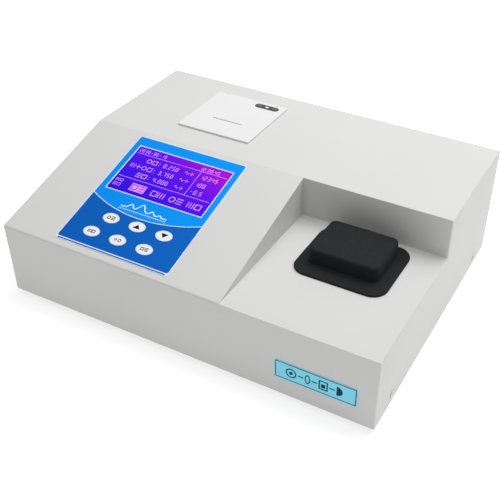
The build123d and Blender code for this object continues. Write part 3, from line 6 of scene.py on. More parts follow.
import bpy
from mathutils import Matrix, Vector


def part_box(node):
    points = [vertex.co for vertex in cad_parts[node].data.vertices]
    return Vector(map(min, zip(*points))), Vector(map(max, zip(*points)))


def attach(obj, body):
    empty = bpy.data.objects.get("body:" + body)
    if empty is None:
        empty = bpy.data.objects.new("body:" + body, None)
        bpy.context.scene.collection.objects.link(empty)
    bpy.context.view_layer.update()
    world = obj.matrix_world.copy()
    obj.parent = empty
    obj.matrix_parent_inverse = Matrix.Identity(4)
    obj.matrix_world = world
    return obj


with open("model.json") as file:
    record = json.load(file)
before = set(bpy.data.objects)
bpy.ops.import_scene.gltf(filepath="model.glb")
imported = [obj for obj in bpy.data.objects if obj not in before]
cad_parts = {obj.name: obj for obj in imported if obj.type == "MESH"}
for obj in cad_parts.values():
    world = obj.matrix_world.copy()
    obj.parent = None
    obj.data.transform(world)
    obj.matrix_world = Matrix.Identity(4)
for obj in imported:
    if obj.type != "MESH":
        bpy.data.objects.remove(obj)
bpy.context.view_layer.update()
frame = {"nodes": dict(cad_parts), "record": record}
nodes = frame["nodes"]
scene = bpy.context.scene
scene.view_settings.view_transform = "Standard"

MM = 0.001

# The camera, from the corners of the case in the photograph
CAMERA_AT = (0.4148, -0.73115, 0.6503)
CAMERA_AZIMUTH = radians(27.7973)
CAMERA_ELEVATION = radians(36.8527)
CAMERA_ROLL = radians(0.7822)
CAMERA_LENS = 60.20
CAMERA_SENSOR = 36
CAMERA_SHIFT = (-0.06, 0.014)

# Studio: sizes in metres, lamp powers in watts
AMBIENT = 0.31
LAMP_TARGET = (0.0, 0.0, 0.1)
TOP_LAMP = {"at": (0.0, 0.1, 1.9), "size": 1.8, "power": 13.0}
BACK_LAMP = {"at": (0.45, 0.6, 1.55), "size": 1.4, "power": 14.5}
FLOOR_REACH = 6.0
FLOOR_GLOW = 0.35
SEEN_GLOW_NEAR = 0.11
SEEN_GLOW_FAR = 0.4
GLOW_NEAR = 0.4
GLOW_FAR = 2.4

# Printed panel, in millimetres from its lower left corner, s up the slope
PANEL_WIDTH = 151.0
PANEL_LENGTH = 177.6
PANEL_CORNER = 3.0
BORDER = 0.9
RULE_FOOT = 0.54
RULE_LOW = 2.2
RULE_HIGH = 3.5
ARC_X = 75.6
ARC_S = 229.9
ARC_RADIUS = 171.6
ARC_LINE = 0.9
WINDOW_WIDTH = 131.4
WINDOW_LENGTH = 74.0
WINDOW_LINE = 1.1
KEY_HOLE = (10.7, 7.4)

# The panel's blues change between these two places across the case, in metres
GRADIENT_START = -0.17
GRADIENT_END = -0.01

# Backlight's colour along its ramp: how far it moves across the window and up it
ACROSS_WEIGHT = 0.55
UP_WEIGHT = 0.6

# How far the roughness of grained and brushed surfaces swings, and how scratches run
GRAIN_SWING = 0.05
BRUSH_SWING = 0.08
SCRATCH_ALONG = 40
SCRATCH_ACROSS = 2400
SCRATCH_DEPTH = 0.00001

# Least cosine between a face's normal and the direction that it is taken to face
FACING = 0.9

# A printed layer's thickness and the gap under it
INK = 0.04
INK_GAP = 0.01

# Title picture: a spectrum over a scale, its peaks as (place, spread, size)
TITLE_LEFT = 44.0
TITLE_RIGHT = 107.0
SPECTRUM_BASE = 68.7
SPECTRUM_HEIGHT = 9.84
SPECTRUM_STROKE = 1.4
SPECTRUM_STEPS = 120
SPECTRUM_PEAKS = ((0.2, 0.055, 0.62), (0.42, 0.075, 1.0), (0.66, 0.05, 0.45), (0.83, 0.04, 0.25))
SCALE_LOW = 65.4
SCALE_HIGH = 65.9
TICK_TOP = 65.2
TICK_WIDTH = 0.4
TICK_SHORT = 1.3
TICK_LONG = 2.2
TICKS = 22
TICK_GROUP = 7

# Keys: which way an arrow points, and each mark's symbols and size
KEY_ARROWS = {"key_upper_middle": 1, "key_upper_right": -1}
ARROW_HALF_WIDTH = 4.6
ARROW_FOOT = 2.9
ARROW_TIP = 3.1
KEY_MARKS = {
    "key_upper_left": ("ob", 4.8),
    "key_lower_left": ("gs", 4.4),
    "key_lower_middle": ("po", 4.4),
    "key_lower_right": ("sb", 4.4),
}
KEY_MARK_WEIGHT = 0.22

# Display, in millimetres from its window's lower left corner
PIXEL = 0.55
RULE_LEFT = 2.0
RULE_RIGHT = 128.0
HEADER_RULE = 63.2
MENU_RULE = 22.6
COLUMN_LINE = 94.0
HEADER_HEIGHT = 5.4
DATE_AT = (3.0, 65.8)
CLOCK_AT = (90.0, 64.8)

# Rows of readings, each as (base, label, reading, side reading)
READINGS = (
    (51.8, "os", "0.250", "12345"),
    (39.6, "gpos", "3.750", "100"),
    (27.4, "bs", "4.000", "-0.5"),
)
ROW_HEIGHT = 6.6
LABEL_RIGHT = 38.0
COLON_LEFT = 39.5
COLON_RISE = 0.8
READING_LEFT = 46.0
UNIT_LEFT = 76.0
UNIT_RISE = 0.6
UNIT_SHARE = 0.82
SIDE_LEFT = 98.0

# Menu of the display: marks as (symbols, left, base, size), and the choice that is lit
MENU_MARKS = (
    ("go", 3.0, 14.2, 4.6),
    ("bs", 3.0, 7.2, 4.6),
    ("sg", 56.0, 7.4, 8.2),
    ("ob", 81.0, 7.4, 8.2),
    ("gs", 106.0, 7.4, 8.2),
)
CHOICE_BOX = (27.0, 5.8, 47.5, 17.6)
CHOICE_MARK = ("sb", 28.2, 7.6, 8.2)

# Light path on the nameplate, in millimetres from its lower left corner
PLATE_MARGIN = 0.8
PLATE_LINE = 1.0
PATH_HALF_HEIGHT = 6.2
PATH_LINE = 1.5
BEAMS = ((27.0, 33.4), (42.6, 49.0), (62.6, 69.0))
LAMP_X = 19.2
LAMP_CORE = 2.2
LENS_X = 38.0
LENS_HALF_WIDTH = 3.1
LENS_SIDE_SHARE = 0.8
CELL_LEFT = 50.6
CELL_RIGHT = 61.0
LIQUID_LEFT = 53.4
LIQUID_RIGHT = 58.2
LIQUID_FOOT = 2.8
LIQUID_TOP = 1.6
DETECTOR_X = 70.6
DETECTOR_SHARE = 1.1
DETECTOR_STEPS = 24

# Characters: seven-stroke digits and plain symbols, never words
SEGMENTS = {
    "0": "abcdef", "1": "bc", "2": "abged", "3": "abgcd", "4": "fgbc",
    "5": "afgcd", "6": "afgedc", "7": "abc", "8": "abcdefg", "9": "abcdfg", "-": "g",
}
DIGIT_SHAPE = 0.52
DIGIT_STROKE = 0.13
DIGIT_PITCH = 0.74
DIGIT_INSET = 0.6
DIGIT_GAP = 0.1
DOT_PITCH = 0.36
SYMBOL_PITCH = 1.22
SYMBOL_WEIGHT = 0.13
SYMBOL_BARS = (0, 0.435, 0.87)
THINNEST_LINE = 0.44
WAVE_RISE = 0.32
WAVE_STEPS = 12


def linear(value):
    """Linear light of one display value from 0 to 255."""
    share = value / 255
    return share / 12.92 if share <= 0.04045 else ((share + 0.055) / 1.055) ** 2.4


def rgb(red, green, blue):
    return (linear(red), linear(green), linear(blue), 1)


def shade(colour, factor):
    return tuple(min(1, channel * factor) for channel in colour[:3]) + (1,)


# Materials


class Paint:
    """One material: its node tree, its shader, and short ways to add nodes."""

    def __init__(self, name):
        self.material = bpy.data.materials.new(name)
        self.material.use_nodes = True
        self.tree = self.material.node_tree
        self.shader = self.tree.nodes["Principled BSDF"]
        self.place = self.tree.nodes.new("ShaderNodeTexCoord").outputs["Object"]

    def set(self, **values):
        for name, value in values.items():
            self.shader.inputs[name.replace("_", " ")].default_value = value
        return self

    def put(self, socket, value):
        """Link another node's output to a socket, or set the socket to a plain value."""
        if isinstance(value, bpy.types.NodeSocket):
            self.tree.links.new(value, socket)
        else:
            socket.default_value = value

    def node(self, kind, **inputs):
        made = self.tree.nodes.new(kind)
        for name, value in inputs.items():
            self.put(made.inputs[name.replace("_", " ")], value)
        return made

    def worked(self, kind, operation, values):
        """A maths node, with its inputs in order."""
        made = self.tree.nodes.new(kind)
        made.operation = operation
        for socket, value in zip(made.inputs, values):
            self.put(socket, value)
        return made

    def maths(self, operation, *values):
        return self.worked("ShaderNodeMath", operation, values).outputs["Value"]

    def vectors(self, operation, *values):
        made = self.worked("ShaderNodeVectorMath", operation, values)
        return made.outputs["Vector" if operation == "SUBTRACT" else "Value"]

    def feed(self, output, name):
        self.tree.links.new(output, self.shader.inputs[name])

    def stretched(self, scale):
        """Object coordinates scaled by axis, for grain that runs one way."""
        return self.node("ShaderNodeMapping", Vector=self.place, Scale=scale).outputs["Vector"]

    def noise(self, scale, detail=2.0, place=None):
        place = place or self.place
        made = self.node("ShaderNodeTexNoise", Vector=place, Scale=scale, Detail=detail)
        return made.outputs["Fac"]

    def cells(self, scale, output):
        """Voronoi cells."""
        return self.node("ShaderNodeTexVoronoi", Vector=self.place, Scale=scale).outputs[output]

    def ramp(self, value, *stops):
        """Colours along a value: each stop is (position, colour)."""
        made = self.node("ShaderNodeValToRGB", Fac=value)
        band = made.color_ramp
        while len(band.elements) < len(stops):
            band.elements.new(0.5)
        for element, (position, colour) in zip(band.elements, stops):
            element.position = position
            element.color = colour
        return made.outputs["Color"]

    def spread(self, value, low, high, start=0.3, end=0.7):
        """The value's range from start to end, turned into low to high."""
        made = self.node(
            "ShaderNodeMapRange", Value=value, From_Min=start, From_Max=end, To_Min=low, To_Max=high
        )
        return made.outputs["Result"]

    def bump(self, height, distance, strength=1.0):
        made = self.node("ShaderNodeBump", Height=height, Distance=distance, Strength=strength)
        self.feed(made.outputs["Normal"], "Normal")

    def tint(self, colour, drift, scale):
        """Colour that drifts a little, lighter and darker, over the surface."""
        stops = [(0.3, shade(colour, 1 - drift)), (0.7, shade(colour, 1 + drift))]
        self.feed(self.ramp(self.noise(scale), *stops), "Base Color")


def grained(name, colour, roughness, grain, depth, drift=0.03, drift_scale=18, **sockets):
    """Paint or moulding: a drifting tint, a fine grain, and roughness that follows the grain."""
    paint = Paint(name)
    paint.tint(colour, drift, drift_scale)
    fine = paint.noise(grain, 3.0)
    paint.feed(paint.spread(fine, roughness - GRAIN_SWING, roughness + GRAIN_SWING), "Roughness")
    paint.bump(fine, depth)
    return paint.set(**sockets).material


def brushed(name, colour, roughness, along):
    """Metal with fine scratches that run along one axis."""
    paint = Paint(name)
    scale = tuple(SCRATCH_ALONG if axis == along else SCRATCH_ACROSS for axis in "xyz")
    lines = paint.noise(1.0, 3.0, paint.stretched(scale))
    tone = paint.ramp(lines, (0.25, shade(colour, 0.86)), (0.75, shade(colour, 1.1)))
    paint.feed(tone, "Base Color")
    paint.feed(paint.spread(lines, roughness - BRUSH_SWING, roughness + BRUSH_SWING), "Roughness")
    paint.bump(lines, SCRATCH_DEPTH)
    return paint.set(Metallic=1.0).material


def case_paint():
    """Light grey powder coat with its fine orange peel."""
    return grained(
        "case_paint", rgb(215, 215, 214), roughness=0.5, grain=900, depth=0.00002,
        drift=0.012, drift_scale=9, Specular_IOR_Level=0.3,
    )


def white_plastic():
    return grained(
        "white_plastic", rgb(228, 228, 228), roughness=0.42, grain=1600, depth=0.000008,
        drift=0.008, drift_scale=25,
    )


def cover_black():
    """Black moulded cover with a fine leather-like grain."""
    paint = Paint("cover_black")
    cells = paint.cells(620.0, "Distance")
    fine = paint.noise(1500, 4.0)
    paint.feed(paint.ramp(fine, (0.3, rgb(20, 21, 22)), (0.75, rgb(33, 35, 37))), "Base Color")
    paint.feed(paint.spread(cells, low=0.62, high=0.8, start=0.0, end=0.6), "Roughness")
    paint.bump(cells, 0.00006, strength=0.8)
    return paint.set(Specular_IOR_Level=0.16).material


def black_plastic():
    return grained(
        "black_plastic", rgb(30, 30, 32), roughness=0.46, grain=1400, depth=0.000012,
        drift=0.12, drift_scale=60,
    )


def glossy_black(name, level):
    return grained(
        name, rgb(level, level, level + 2), roughness=0.22, grain=900, depth=0.000003,
        drift=0.1, drift_scale=90, Coat_Weight=0.3,
    )


def foot_rubber():
    return grained(
        "foot_rubber", rgb(26, 26, 27), roughness=0.78, grain=2200, depth=0.00002,
        drift=0.15, drift_scale=90,
    )


def roller_rubber():
    return grained(
        "roller_rubber", rgb(40, 40, 41), roughness=0.7, grain=3000, depth=0.00001,
        drift=0.1, drift_scale=120,
    )


def zinc_steel():
    """Zinc-plated sheet with its faint spangle."""
    paint = Paint("zinc_steel")
    grey = paint.node("ShaderNodeRGBToBW", Color=paint.cells(160.0, "Color")).outputs["Val"]
    tone = paint.ramp(grey, (0.2, (0.5, 0.51, 0.53, 1)), (0.8, (0.66, 0.67, 0.68, 1)))
    paint.feed(tone, "Base Color")
    paint.feed(paint.spread(grey, low=0.32, high=0.46, start=0, end=1), "Roughness")
    return paint.set(Metallic=1.0).material


def black_anodised():
    return grained(
        "black_anodised", rgb(34, 34, 37), roughness=0.4, grain=2600, depth=0.000006,
        drift=0.12, drift_scale=50, Metallic=0.35,
    )


def mirror_glass():
    """Aluminised glass with the faintest haze."""
    paint = Paint("mirror_glass")
    haze = paint.noise(70, 4.0)
    tone = paint.ramp(haze, (0.3, (0.84, 0.86, 0.88, 1)), (0.7, (0.9, 0.91, 0.93, 1)))
    paint.feed(tone, "Base Color")
    paint.feed(paint.spread(haze, low=0.03, high=0.09), "Roughness")
    return paint.set(Metallic=1.0).material


def quartz():
    paint = Paint("quartz")
    haze = paint.noise(120, 3.0)
    tone = paint.ramp(haze, (0.3, (0.93, 0.95, 0.98, 1)), (0.7, (0.98, 0.99, 1, 1)))
    paint.feed(tone, "Base Color")
    paint.feed(paint.spread(haze, low=0.02, high=0.08), "Roughness")
    return paint.set(Transmission_Weight=0.9, IOR=1.46).material


def circuit_board():
    """Green solder mask over copper runs."""
    paint = Paint("circuit_board")
    runs = paint.node(
        "ShaderNodeTexBrick", Vector=paint.place, Scale=260.0, Mortar_Size=0.06,
        Color1=rgb(14, 84, 44), Color2=rgb(18, 98, 52), Mortar=rgb(52, 138, 78),
    )
    paint.feed(runs.outputs["Color"], "Base Color")
    paint.feed(paint.spread(paint.noise(400), low=0.3, high=0.42), "Roughness")
    paint.bump(runs.outputs["Fac"], 0.00002)
    return paint.material


def paper():
    """Thermal paper: matt, with the wound layers showing at the roll's ends."""
    paint = Paint("paper")
    low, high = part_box("paper_roll")
    middle = (low + high) / 2
    shift = (0, -middle.y, -middle.z)
    centred = paint.node("ShaderNodeMapping", Vector=paint.place, Location=shift).outputs["Vector"]
    rings = paint.node("ShaderNodeTexWave", Vector=centred, Scale=900.0, Distortion=0.4)
    rings.wave_type = "RINGS"
    rings.rings_direction = "X"
    tone = paint.ramp(rings.outputs["Fac"], (0.2, rgb(222, 221, 214)), (0.8, rgb(241, 240, 234)))
    paint.feed(tone, "Base Color")
    paint.feed(paint.spread(paint.noise(900), low=0.7, high=0.85), "Roughness")
    paint.bump(paint.noise(1800), 0.00001)
    return paint.material


def gear_plastic():
    return grained(
        "gear_plastic", rgb(232, 230, 220), roughness=0.36, grain=1200, depth=0.000006,
        drift=0.03, drift_scale=60,
    )


def lamp_plastic():
    """Frosted window of the printer's lamp, lit."""
    paint = Paint("lamp_plastic")
    glow = paint.ramp(paint.noise(500), (0.3, rgb(212, 216, 214)), (0.7, rgb(236, 240, 238)))
    paint.feed(glow, "Base Color")
    paint.feed(glow, "Emission Color")
    paint.feed(paint.spread(paint.noise(900), low=0.3, high=0.45), "Roughness")
    return paint.set(Emission_Strength=0.35).material


def key_white():
    return grained(
        "key_white", rgb(240, 242, 245), roughness=0.3, grain=1100, depth=0.000005,
        drift=0.01, drift_scale=60,
    )


def printed(name, colour):
    """Screen-printed ink under a satin film."""
    return grained(
        name, colour, roughness=0.36, grain=1300, depth=0.000004,
        drift=0.015, drift_scale=12, Specular_IOR_Level=0.08,
    )


def panel_gradient(name, low, high):
    """Printed colour that changes from one end of the panel's width to the other."""
    paint = Paint(name)
    along = paint.node("ShaderNodeSeparateXYZ", Vector=paint.place).outputs["X"]
    share = paint.spread(along, low=0, high=1, start=GRADIENT_START, end=GRADIENT_END)
    paint.feed(paint.ramp(share, (0.0, low), (1.0, high)), "Base Color")
    fine = paint.noise(1300, 3.0)
    paint.feed(paint.spread(fine, low=0.32, high=0.4), "Roughness")
    paint.bump(fine, 0.000004)
    return paint.set(Specular_IOR_Level=0.06).material


def lit_display(plane):
    """Backlit display: violet, bluer low at the left and pinker high at the right, in fine dots."""
    paint = Paint("display")
    across = Vector((1, 0, 0)) / (WINDOW_WIDTH * MM)
    up = plane.to_3x3().col[1] / (WINDOW_LENGTH * MM)
    place = paint.vectors("SUBTRACT", paint.place, plane.to_translation())
    across_share = paint.vectors("DOT_PRODUCT", place, across)
    up_share = paint.vectors("DOT_PRODUCT", place, up)
    risen = paint.maths("MULTIPLY", up_share, UP_WEIGHT)
    weighed = paint.maths("MULTIPLY_ADD", across_share, ACROSS_WEIGHT, risen)
    glow = paint.ramp(
        weighed,
        (0.0, rgb(36, 0, 214)),
        (0.35, rgb(60, 0, 238)),
        (0.7, rgb(92, 0, 238)),
        (0.92, rgb(136, 0, 232)),
        (1.0, rgb(172, 0, 214)),
    )
    paint.feed(glow, "Emission Color")
    dots = paint.node(
        "ShaderNodeTexChecker", Vector=paint.place, Scale=1900.0,
        Color1=rgb(10, 3, 30), Color2=rgb(16, 5, 42),
    )
    paint.feed(dots.outputs["Color"], "Base Color")
    paint.feed(paint.spread(paint.noise(300), low=0.16, high=0.24), "Roughness")
    return paint.set(Emission_Strength=0.95, Specular_IOR_Level=0.05).material


def glowing_ink():
    """Lit characters on the display."""
    paint = Paint("display_ink")
    glow = paint.ramp(paint.noise(60), (0.3, rgb(226, 120, 255)), (0.7, rgb(246, 168, 255)))
    paint.feed(glow, "Emission Color")
    tone = paint.ramp(paint.noise(200), (0.3, rgb(60, 30, 70)), (0.7, rgb(80, 40, 90)))
    paint.feed(tone, "Base Color")
    return paint.set(Emission_Strength=0.9, Roughness=0.4).material


def dress(node, material):
    """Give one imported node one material."""
    mesh = nodes[node].data
    mesh.materials.clear()
    mesh.materials.append(material)


# Planes to print on


def face_plane(node, towards):
    """Plane on a node's largest face towards a direction: x right, y up, from its lower left."""
    mesh = nodes[node].data
    towards = Vector(towards)
    facing = [polygon for polygon in mesh.polygons if polygon.normal.dot(towards) > FACING]
    normal = max(facing, key=lambda polygon: polygon.area).normal.normalized()
    right = Vector((1, 0, 0))
    up = normal.cross(right)
    places = [vertex.co for vertex in mesh.vertices]
    across = min(place.dot(right) for place in places)
    low = min(place.dot(up) for place in places)
    lift = max(place.dot(normal) for place in places)
    origin = right * across + up * low + normal * lift
    return Matrix.Translation(origin) @ Matrix((right, up, normal)).transposed().to_4x4()


def middle_on(plane, node):
    """Middle of a node's box on a plane, in millimetres."""
    low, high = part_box(node)
    local = plane.inverted() @ ((low + high) / 2)
    return local.x / MM, local.y / MM


# Outlines, in millimetres, each a closed list of points


def box_loop(left, low, right, high):
    return [(left, low), (right, low), (right, high), (left, high)]


def oval_loop(x, y, half_width, half_height, steps=72):
    turns = [2 * pi * step / steps for step in range(steps)]
    return [(x + half_width * cos(turn), y + half_height * sin(turn)) for turn in turns]


def rounded_loop(left, low, right, high, radius, steps=8):
    corners = ((right, high, 0), (left, high, 1), (left, low, 2), (right, low, 3))
    loop = []
    for x, y, quarter in corners:
        centre_x = x - radius if x == right else x + radius
        centre_y = y - radius if y == high else y + radius
        for step in range(steps + 1):
            turn = pi / 2 * (quarter + step / steps)
            loop.append((centre_x + radius * cos(turn), centre_y + radius * sin(turn)))
    return loop


def frame_loops(left, low, right, high, line):
    inner = box_loop(left + line, low + line, right - line, high - line)
    return [box_loop(left, low, right, high), inner]


def ring_loops(x, y, radius, line):
    return [oval_loop(x, y, radius, radius), oval_loop(x, y, radius - line, radius - line)]


def stroke(points, width):
    """Outline of a line of even width through the points."""
    places = [Vector(point) for point in points]
    sides = []
    for index, place in enumerate(places):
        before = places[max(index - 1, 0)]
        after = places[min(index + 1, len(places) - 1)]
        along = (after - before).normalized()
        sides.append((place, Vector((-along.y, along.x)) * width / 2))
    left = [tuple(place + side) for place, side in sides]
    right = [tuple(place - side) for place, side in sides]
    return left + right[::-1]


def flat_curve(name, loops):
    """Curve that fills closed loops, where a loop inside another is a hole."""
    curve = bpy.data.curves.new(name, "CURVE")
    curve.dimensions = "2D"
    curve.fill_mode = "BOTH"
    for points in loops:
        spline = curve.splines.new("POLY")
        spline.points.add(len(points) - 1)
        for point, (x, y) in zip(spline.points, points):
            point.co = (x, y, 0, 1)
        spline.use_cyclic_u = True
    return curve


def ink(name, loops, plane, material, lift=0.0, body="case"):
    """Thin printed layer on a plane."""
    curve = flat_curve(name, loops)
    curve.extrude = INK / 2
    outline = bpy.data.objects.new(name, curve)
    scene.collection.objects.link(outline)
    bpy.context.view_layer.update()
    shown = outline.evaluated_get(bpy.context.evaluated_depsgraph_get())
    mesh = bpy.data.meshes.new_from_object(shown)
    bpy.data.objects.remove(outline)
    bpy.data.curves.remove(curve)
    scaled = Matrix.Scale(MM, 4) @ Matrix.Translation((0, 0, lift + INK_GAP + INK / 2))
    mesh.transform(plane @ scaled)
    mesh.materials.clear()
    mesh.materials.append(material)
    piece = bpy.data.objects.new(name, mesh)
    scene.collection.objects.link(piece)
    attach(piece, body)


def digit_loops(text, x, y, height):
    """Closed outlines of digits and points from the left end of a line."""
    width = height * DIGIT_SHAPE
    line = height * DIGIT_STROKE
    inset = line * DIGIT_INSET
    gap = line * DIGIT_GAP
    half = height / 2
    bars = {
        "a": (inset, height - line, width - inset, height),
        "b": (width - line, half + gap, width, height - line - gap),
        "c": (width - line, line + gap, width, half - gap),
        "d": (inset, 0, width - inset, line),
        "e": (0, line + gap, line, half - gap),
        "f": (0, half + gap, line, height - line - gap),
        "g": (line + gap, half - line / 2, width - line - gap, half + line / 2),
    }
    loops = []
    for letter in text:
        for name in SEGMENTS.get(letter, ""):
            left, low, right, high = bars[name]
            loops.append(box_loop(x + left, y + low, x + right, y + high))
        if letter in ".:":
            loops.append(box_loop(x, y, x + line, y + line))
        if letter == ":":
            loops.append(box_loop(x, y + half, x + line, y + half + line))
        x += height * (DOT_PITCH if letter in ".:" else DIGIT_PITCH)
    return loops


def symbol_loops(kinds, x, y, side, weight=SYMBOL_WEIGHT):
    """A row of plain symbols: o ring, s square, b bars, g grid, p plus, w wave."""
    line = max(side * weight, THINNEST_LINE)
    half = line / 2
    high = y + side
    middle_y = y + side / 2
    loops = []
    for kind in kinds:
        right = x + side
        middle_x = x + side / 2
        if kind == "o":
            loops += ring_loops(middle_x, middle_y, side / 2, line)
        if kind == "s":
            loops += frame_loops(x, y, right, high, line)
        if kind == "b":
            starts = [y + side * share for share in SYMBOL_BARS]
            loops += [box_loop(x, start, right, start + line) for start in starts]
        if kind == "g":
            starts = [x + side * share for share in SYMBOL_BARS]
            loops += [box_loop(start, y, start + line, high) for start in starts]
        if kind == "p":
            loops.append(box_loop(x, middle_y - half, right, middle_y + half))
            loops.append(box_loop(middle_x - half, y, middle_x + half, middle_y - line))
            loops.append(box_loop(middle_x - half, middle_y + line, middle_x + half, high))
        if kind == "w":
            shares = [step / WAVE_STEPS for step in range(WAVE_STEPS + 1)]
            points = [
                (x + side * share, y + side * (0.5 + WAVE_RISE * sin(2 * pi * share)))
                for share in shares
            ]
            loops.append(stroke(points, line))
        x += side * SYMBOL_PITCH
    return loops


def symbols_width(kinds, side):
    """Width of a row of symbols, from the first one's left side to the last one's right side."""
    return side * (len(kinds) * SYMBOL_PITCH - (SYMBOL_PITCH - 1))


# What is printed on the membrane panel

panel = face_plane("keypad_overlay", (0, 0, 1))
window_x, window_s = middle_on(panel, "display_glass")
key_names = [name for name in sorted(nodes) if name.startswith("key_") and name != "key_board"]
key_middles = {name: middle_on(panel, name) for name in key_names}


def arc_points(radius, left, right, steps=48):
    """Points of the panel's dividing arc between two places across it."""
    first = asin((left - ARC_X) / radius)
    last = asin((right - ARC_X) / radius)
    turns = [first + (last - first) * step / steps for step in range(steps + 1)]
    return [(ARC_X + radius * sin(turn), ARC_S - radius * cos(turn)) for turn in turns]


def print_panel():
    left, right = BORDER, PANEL_WIDTH - BORDER
    corner = PANEL_CORNER - BORDER
    half_length = PANEL_LENGTH / 2
    white = printed("print_white", rgb(236, 244, 252))
    light = panel_gradient("print_light_blue", rgb(0, 144, 244), rgb(0, 152, 252))
    deep = panel_gradient("print_deep_blue", rgb(0, 94, 186), rgb(4, 100, 196))
    dress("keypad_overlay", white)
    outer = rounded_loop(left, 0, right, PANEL_LENGTH - BORDER, corner)
    top = [point for point in outer if point[1] > half_length]
    upper = arc_points(ARC_RADIUS - ARC_LINE / 2, left, right) + top
    window = box_loop(
        window_x - WINDOW_WIDTH / 2 - WINDOW_LINE,
        window_s - WINDOW_LENGTH / 2 - WINDOW_LINE,
        window_x + WINDOW_WIDTH / 2 + WINDOW_LINE,
        window_s + WINDOW_LENGTH / 2 + WINDOW_LINE,
    )
    ink("panel_light_field", [upper, window], panel, light)
    outer = rounded_loop(left, RULE_HIGH, right, PANEL_LENGTH, corner)
    bottom = [point for point in outer if point[1] < half_length]
    lower = arc_points(ARC_RADIUS + ARC_LINE / 2, left, right)[::-1] + bottom
    holes = [oval_loop(x, s, *KEY_HOLE) for x, s in key_middles.values()]
    ink("panel_deep_field", [lower] + holes, panel, deep)
    rule = box_loop(left + corner, RULE_FOOT, right - corner, RULE_LOW)
    ink("panel_low_rule", [rule], panel, deep)


def print_title():
    """A spectrum with four peaks over its scale, where the panel has its name."""
    white = printed("print_title_white", rgb(222, 242, 255))
    width = TITLE_RIGHT - TITLE_LEFT
    points = []
    for step in range(SPECTRUM_STEPS + 1):
        share = step / SPECTRUM_STEPS
        level = sum(
            size * exp(-((share - place) / spread) ** 2) for place, spread, size in SPECTRUM_PEAKS
        )
        points.append((TITLE_LEFT + width * share, SPECTRUM_BASE + SPECTRUM_HEIGHT * level))
    ink("title_spectrum", [stroke(points, SPECTRUM_STROKE)], panel, white, INK)
    ticks = [box_loop(TITLE_LEFT, SCALE_LOW, TITLE_RIGHT, SCALE_HIGH)]
    for index in range(TICKS):
        x = TITLE_LEFT + width * index / (TICKS - 1)
        reach = TICK_SHORT if index % TICK_GROUP else TICK_LONG
        ticks.append(box_loop(x - TICK_WIDTH / 2, TICK_TOP - reach, x + TICK_WIDTH / 2, TICK_TOP))
    ink("title_scale", ticks, panel, white, INK)


def print_keys():
    """Arrows on two of the keys and plain symbols on the rest."""
    black = printed("print_black", rgb(22, 20, 20))
    brown = printed("print_brown", rgb(58, 46, 38))
    for name, turn in KEY_ARROWS.items():
        plane = face_plane(name, (0, 0, 1))
        x, s = middle_on(plane, name)
        foot = s - turn * ARROW_FOOT
        tip = s + turn * ARROW_TIP
        arrow = [(x - ARROW_HALF_WIDTH, foot), (x + ARROW_HALF_WIDTH, foot), (x, tip)]
        ink(f"{name}_arrow", [arrow], plane, black, body=name)
    for name, (kinds, side) in KEY_MARKS.items():
        plane = face_plane(name, (0, 0, 1))
        x, s = middle_on(plane, name)
        left = x - symbols_width(kinds, side) / 2
        mark = symbol_loops(kinds, left, s - side / 2, side, KEY_MARK_WEIGHT)
        ink(f"{name}_mark", mark, plane, brown, body=name)


# What is lit on the display


def print_display():
    plane = face_plane("display_glass", (0, 0, 1))
    glass_x, glass_s = middle_on(plane, "display_glass")
    corner = ((glass_x - WINDOW_WIDTH / 2) * MM, (glass_s - WINDOW_LENGTH / 2) * MM, 0)
    plane = plane @ Matrix.Translation(corner)
    dress("display_glass", lit_display(plane))
    lit = glowing_ink()
    header = digit_loops("2030-06-15", *DATE_AT, HEADER_HEIGHT)
    header += digit_loops("12:30:45", *CLOCK_AT, HEADER_HEIGHT)
    ink("display_header", header, plane, lit)
    rules = [
        box_loop(RULE_LEFT, HEADER_RULE, RULE_RIGHT, HEADER_RULE + PIXEL),
        box_loop(RULE_LEFT, MENU_RULE, RULE_RIGHT, MENU_RULE + PIXEL),
        box_loop(COLUMN_LINE, MENU_RULE + 2 * PIXEL, COLUMN_LINE + PIXEL, HEADER_RULE - PIXEL),
    ]
    ink("display_rules", rules, plane, lit)
    rows = []
    for base, label, reading, side_reading in READINGS:
        label_left = LABEL_RIGHT - len(label) * ROW_HEIGHT * SYMBOL_PITCH
        rows += symbol_loops(label, label_left, base, ROW_HEIGHT)
        rows += digit_loops(":", COLON_LEFT, base + COLON_RISE, ROW_HEIGHT)
        rows += digit_loops(reading, READING_LEFT, base, ROW_HEIGHT)
        rows += symbol_loops("wp", UNIT_LEFT, base + UNIT_RISE, ROW_HEIGHT * UNIT_SHARE)
        rows += digit_loops(side_reading, SIDE_LEFT, base, ROW_HEIGHT)
    ink("display_readings", rows, plane, lit)
    menu = []
    for mark in MENU_MARKS:
        menu += symbol_loops(*mark)
    menu.append(box_loop(*CHOICE_BOX))
    menu += symbol_loops(*CHOICE_MARK)
    ink("display_menu", menu, plane, lit)


# What is printed on the nameplate


